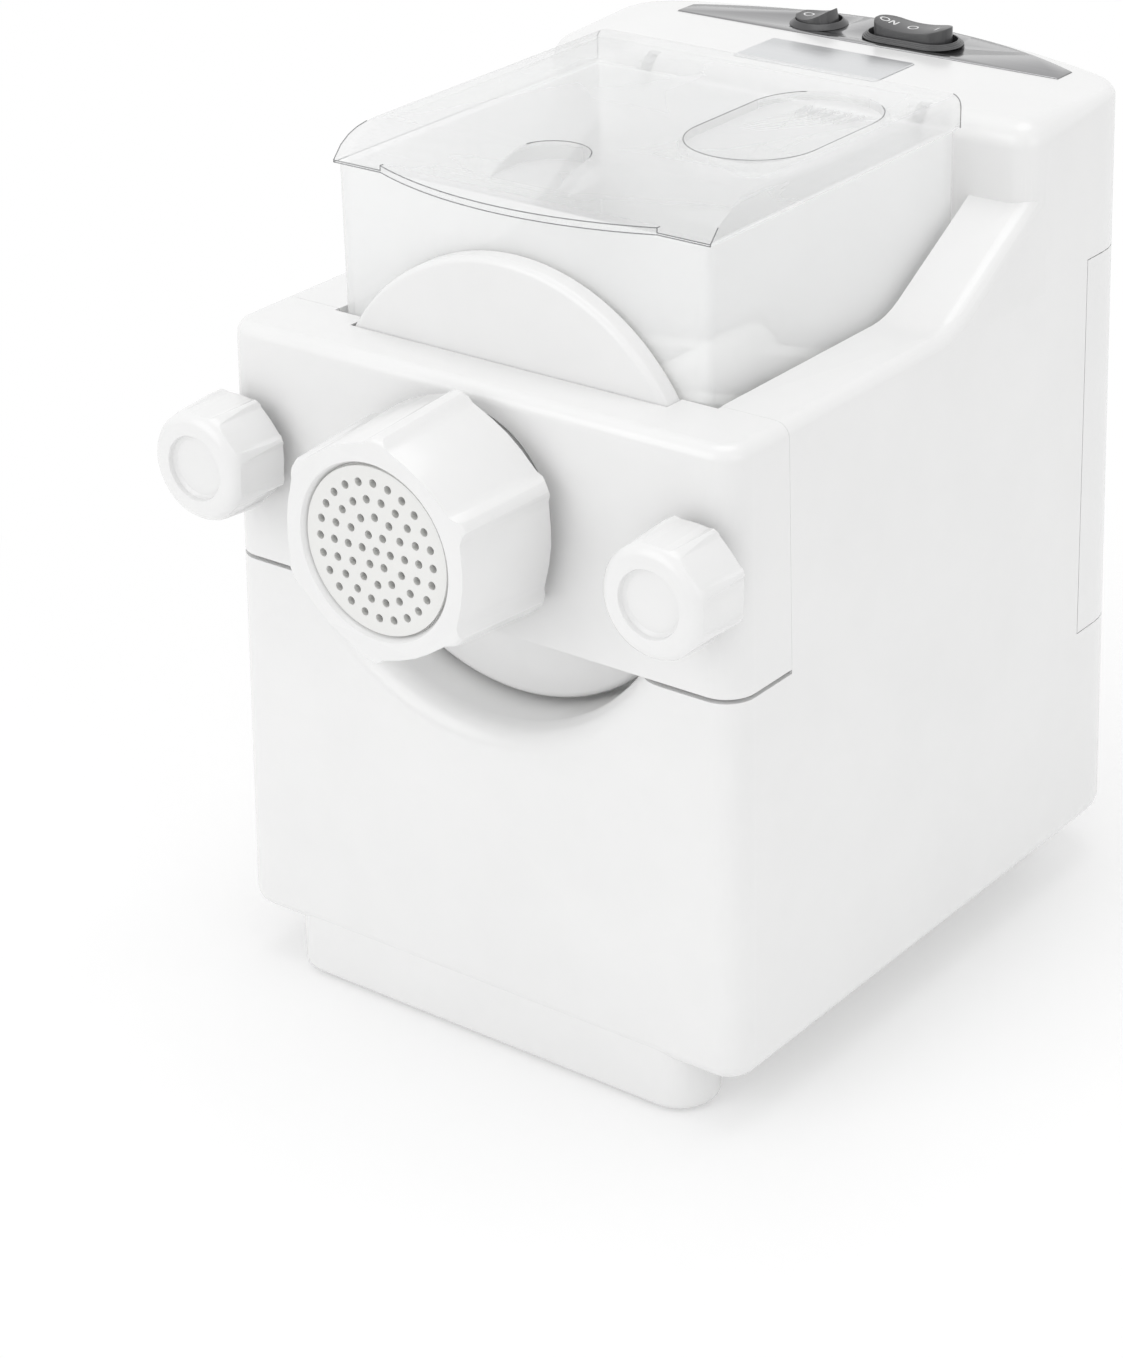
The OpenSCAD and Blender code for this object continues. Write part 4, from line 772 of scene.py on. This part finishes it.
class PASTA_OT_fasteners(bpy.types.Operator):
    """Screws with painted shade for cross recesses, rubber feet and the cord's gland"""
    bl_idname = "pasta.fasteners"
    bl_label = "Feet and fasteners"

    def execute(self, context):
        sizes = context.scene.pasta_fasteners
        rubber = moulded("black rubber", (0.035, 0.035, 0.035), roughness=0.7, size=0.0008, depth=0.0001)
        finish_nodes(steel(), "cover_screws", "base_screws")
        finish_nodes(rubber, "rubber_feet", "cord_gland")
        painted_recess_shade("cover_screws", (0, 1, 0), sizes.recess_shade_width)
        painted_recess_shade("base_screws", (0, 0, -1), sizes.recess_shade_width)
        foot_treads(rubber, sizes.foot_rings)
        return {"FINISHED"}


def foot_treads(rubber, rings):
    """Shallow rings around the middle of each foot's underside, on the plane that the feet stand on."""
    smallest, apart, half_width = 2.6*MM, 2.0*MM, 0.5*MM
    rise = 0.02*MM
    work = bmesh.new()
    for centre in solids_of("rubber_feet"):
        for k in range(rings):
            inner = smallest + apart*k
            spun(work, [(inner, rise), (inner + half_width, 0.0), (inner + 2*half_width, rise)],
                Vector((centre.x, centre.y, 0.0)))
    new_piece("foot_treads", work, rubber, "rubber_feet")


def spun(work, outline, centre, steps=48):
    """Turns an outline of (radius, height) points about the upright line through centre."""
    up = Vector((0, 0, 1))
    rings = [circle(work, centre + up*height, up, radius, steps) for radius, height in outline]
    for low, high in zip(rings, rings[1:]):
        for k in range(steps):
            j = (k + 1) % steps
            work.faces.new((low[k], low[j], high[j], high[k]))


def solids_of(node):
    """The middle of each separate solid in a node."""
    work = welded(node)
    seen, middles = set(), []
    for start in work.verts:
        if start in seen:
            continue
        stack, island = [start], []
        seen.add(start)
        while stack:
            vert = stack.pop()
            island.append(vert.co.copy())
            for edge in vert.link_edges:
                other = edge.other_vert(vert)
                if other not in seen:
                    seen.add(other)
                    stack.append(other)
        low, high = [Vector([end(at[i] for at in island) for i in range(3)]) for end in (min, max)]
        middles.append((low + high)/2)
    work.free()
    return middles


def painted_recess_shade(node, out, width):
    """Painted shade: flat dark crosses laid on the heads of a node's screws, where a cross recess's shade
    would be.
    """
    out = Vector(out)
    side = out.orthogonal().normalized()
    other = out.cross(side)
    reach = 1.9*MM
    hair = out*0.03*MM
    work = bmesh.new()
    for centre in solids_of(node):
        face = centre - out*out.dot(centre) + out*head_level(node, centre, out)
        for along, across in ((side, other), (other, side)):
            corners = [face + hair + along*a*reach + across*b*width/2
                for a, b in ((-1, -1), (1, -1), (1, 1), (-1, 1))]
            work.faces.new([work.verts.new(corner) for corner in corners])
    # painted shade: a near-black finish for the flat crosses on the screw heads
    shade = moulded("recess shade", (0.05, 0.05, 0.05), roughness=0.6)
    new_piece(node + "_recesses", work, shade, node)


def head_level(node, centre, out):
    """How far out the head of the screw nearest to centre reaches."""
    around = 6*MM
    near = [v.co.dot(out) for v in frame["nodes"][node].data.vertices
        if (v.co - centre - out*(v.co - centre).dot(out)).length < around]
    return max(near)


# ---- stage -------------------------------------------------------------------

# The floor: half its width, its squares along each side, how far it lies under the feet, and the distances
# from the middle of the machine between which it turns plain white. Lengths are in metres.
FLOOR_HALF = 3.0
FLOOR_SQUARES = 24
FLOOR_DROP = 0.0002
SHADOW_REACH = (0.2, 0.45)

# The camera: its angles in degrees, the point in the machine that its place is counted from and its place
# from there in metres, its focal length and the frame's height in pixels, and its sensor in millimetres.
VIEW_YAW, VIEW_TILT, VIEW_ROLL = 38.175, 26.348, -1.455
VIEW_CENTRE = (0.0, 0.015, 0.0)
VIEW_ASIDE, VIEW_ABOVE, VIEW_AWAY = -0.049634, 0.076603, 1.246603
FOCAL_PIXELS, FRAME_PIXELS = 3430.974, 1358
SENSOR = 36.0


class PASTA_OT_stage(bpy.types.Operator):
    """Floor, light from all round, three soft lamps and the camera"""
    bl_idname = "pasta.stage"
    bl_label = "Stage"

    def execute(self, context):
        looks = context.scene.pasta_stage
        build_world(looks)
        build_floor(looks)
        soft_lamp("key lamp", where=(-0.7, -1.9, 1.1), aim=(0, 0, 0.15), size=1.6, power=looks.key)
        soft_lamp("fill lamp", where=(2.0, -0.6, 1.0), aim=(0, 0, 0.12), size=1.4, power=looks.fill)
        soft_lamp("top lamp", where=(0.0, 0.1, 2.3), aim=(0, 0, 0.2), size=1.6, power=looks.top)
        build_camera(context.scene)
        context.scene.view_settings.view_transform = "Standard"
        return {"FINISHED"}


def build_world(looks):
    """Even light from all round, and plain white wherever it is looked at."""
    world = bpy.data.worlds.new("even light")
    bpy.context.scene.world = world
    world.use_nodes = True
    tree = world.node_tree
    strength = remap(tree, looked_at(tree), (0.0, 1.0), (looks.sky, 1.0))
    feed(tree, tree.nodes["Background"].inputs, Color=(1, 1, 1, 1), Strength=strength)


def build_floor(looks):
    """A wide pale floor."""
    work = bmesh.new()
    stops = [-FLOOR_HALF + 2*FLOOR_HALF*k/FLOOR_SQUARES for k in range(FLOOR_SQUARES + 1)]
    grid = [[work.verts.new((x, y, -FLOOR_DROP)) for y in stops] for x in stops]
    for near, far in zip(grid, grid[1:]):
        for corners in zip(near, far, far[1:], near[1:]):
            work.faces.new(corners)
    object_of("floor", work, pale_floor(looks))


def pale_floor(looks):
    """Keeps the shadow near the machine, and is plain white further off where it is looked at."""
    material, tree, shader = fresh_material("pale floor")
    feed(tree, shader.inputs, Base_Color=with_alpha(looks.floor), Roughness=0.7, Specular_IOR_Level=0.1)
    glow = add(tree, "ShaderNodeEmission", Color=(1, 1, 1, 1), Strength=1.0)
    distance = add(tree, "ShaderNodeVectorMath", operation="LENGTH")
    give(tree, distance.inputs[0], add(tree, "ShaderNodeNewGeometry").outputs["Position"])
    far = remap(tree, distance.outputs["Value"], SHADOW_REACH, (0.4, 1.0), interpolation="SMOOTHSTEP")
    mix = add(tree, "ShaderNodeMixShader", Fac=calc(tree, "MULTIPLY", looked_at(tree), far))
    give(tree, mix.inputs[1], shader.outputs[0])
    give(tree, mix.inputs[2], glow.outputs[0])
    feed(tree, tree.nodes["Material Output"].inputs, Surface=mix.outputs[0])
    return material


def soft_lamp(name, where, aim, size, power):
    """A large round lamp that points at a place."""
    lamp = bpy.data.lights.new(name, "AREA")
    lamp.shape = "DISK"
    lamp.size = size
    lamp.energy = power
    obj = link(bpy.data.objects.new(name, lamp))
    obj.location = where
    obj.rotation_euler = (Vector(aim) - Vector(where)).to_track_quat("-Z", "Y").to_euler()


def build_camera(scene):
    """The camera looks down on the front right corner from about 1.25 m."""
    yaw, tilt, roll = (math.radians(angle) for angle in (VIEW_YAW, VIEW_TILT, VIEW_ROLL))
    back = Vector((math.sin(yaw)*math.cos(tilt), -math.cos(yaw)*math.cos(tilt), math.sin(tilt)))
    level = Vector((math.cos(yaw), math.sin(yaw), 0.0))
    rise = back.cross(level)
    right = level*math.cos(roll) + rise*math.sin(roll)
    up = rise*math.cos(roll) - level*math.sin(roll)
    data = bpy.data.cameras.new("camera")
    data.sensor_width = SENSOR
    data.lens = FOCAL_PIXELS/FRAME_PIXELS*SENSOR
    data.clip_start = 0.05
    obj = link(bpy.data.objects.new("camera", data))
    spot = right*VIEW_ASIDE + up*VIEW_ABOVE + back*VIEW_AWAY + Vector(VIEW_CENTRE)
    obj.matrix_world = Matrix.Translation(spot) @ Matrix((right, up, back)).transposed().to_4x4()
    scene.camera = obj


# ---- panel and start ---------------------------------------------------------

class PASTA_PT_panel(bpy.types.Panel):
    """Lists the steps that dress the machine"""
    bl_label = "Pasta maker"
    bl_idname = "PASTA_PT_panel"
    bl_space_type = "VIEW_3D"
    bl_region_type = "UI"
    bl_category = "Pasta maker"

    def draw(self, context):
        for step in STEPS:
            self.layout.operator(step.bl_idname)
        for group, _ in GROUPS:
            looks = getattr(context.scene, group)
            box = self.layout.box()
            for name in looks.bl_rna.properties.keys():
                if name not in {"rna_type", "name"}:
                    box.prop(looks, name)


STEPS = (PASTA_OT_shell, PASTA_OT_clamp, PASTA_OT_extruder, PASTA_OT_trough, PASTA_OT_controls,
    PASTA_OT_drive, PASTA_OT_fasteners, PASTA_OT_stage)
GROUPS = (("pasta_shell", ShellLooks), ("pasta_clear", ClearLooks), ("pasta_controls", ControlLooks),
    ("pasta_fasteners", FastenerSizes), ("pasta_stage", StageLooks))


def register():
    for group, kind in GROUPS:
        bpy.utils.register_class(kind)
        setattr(bpy.types.Scene, group, PointerProperty(type=kind))
    for step in STEPS:
        bpy.utils.register_class(step)
    bpy.utils.register_class(PASTA_PT_panel)


def unregister():
    bpy.utils.unregister_class(PASTA_PT_panel)
    for step in reversed(STEPS):
        bpy.utils.unregister_class(step)
    for group, kind in reversed(GROUPS):
        delattr(bpy.types.Scene, group)
        bpy.utils.unregister_class(kind)


def main():
    """Dresses the machine."""
    register()
    for step in (bpy.ops.pasta.shell, bpy.ops.pasta.clamp, bpy.ops.pasta.extruder, bpy.ops.pasta.trough,
            bpy.ops.pasta.controls, bpy.ops.pasta.drive, bpy.ops.pasta.fasteners, bpy.ops.pasta.stage):
        if step() != {"FINISHED"}:
            raise RuntimeError("a step did not finish")


if __name__ == "__main__":
    main()
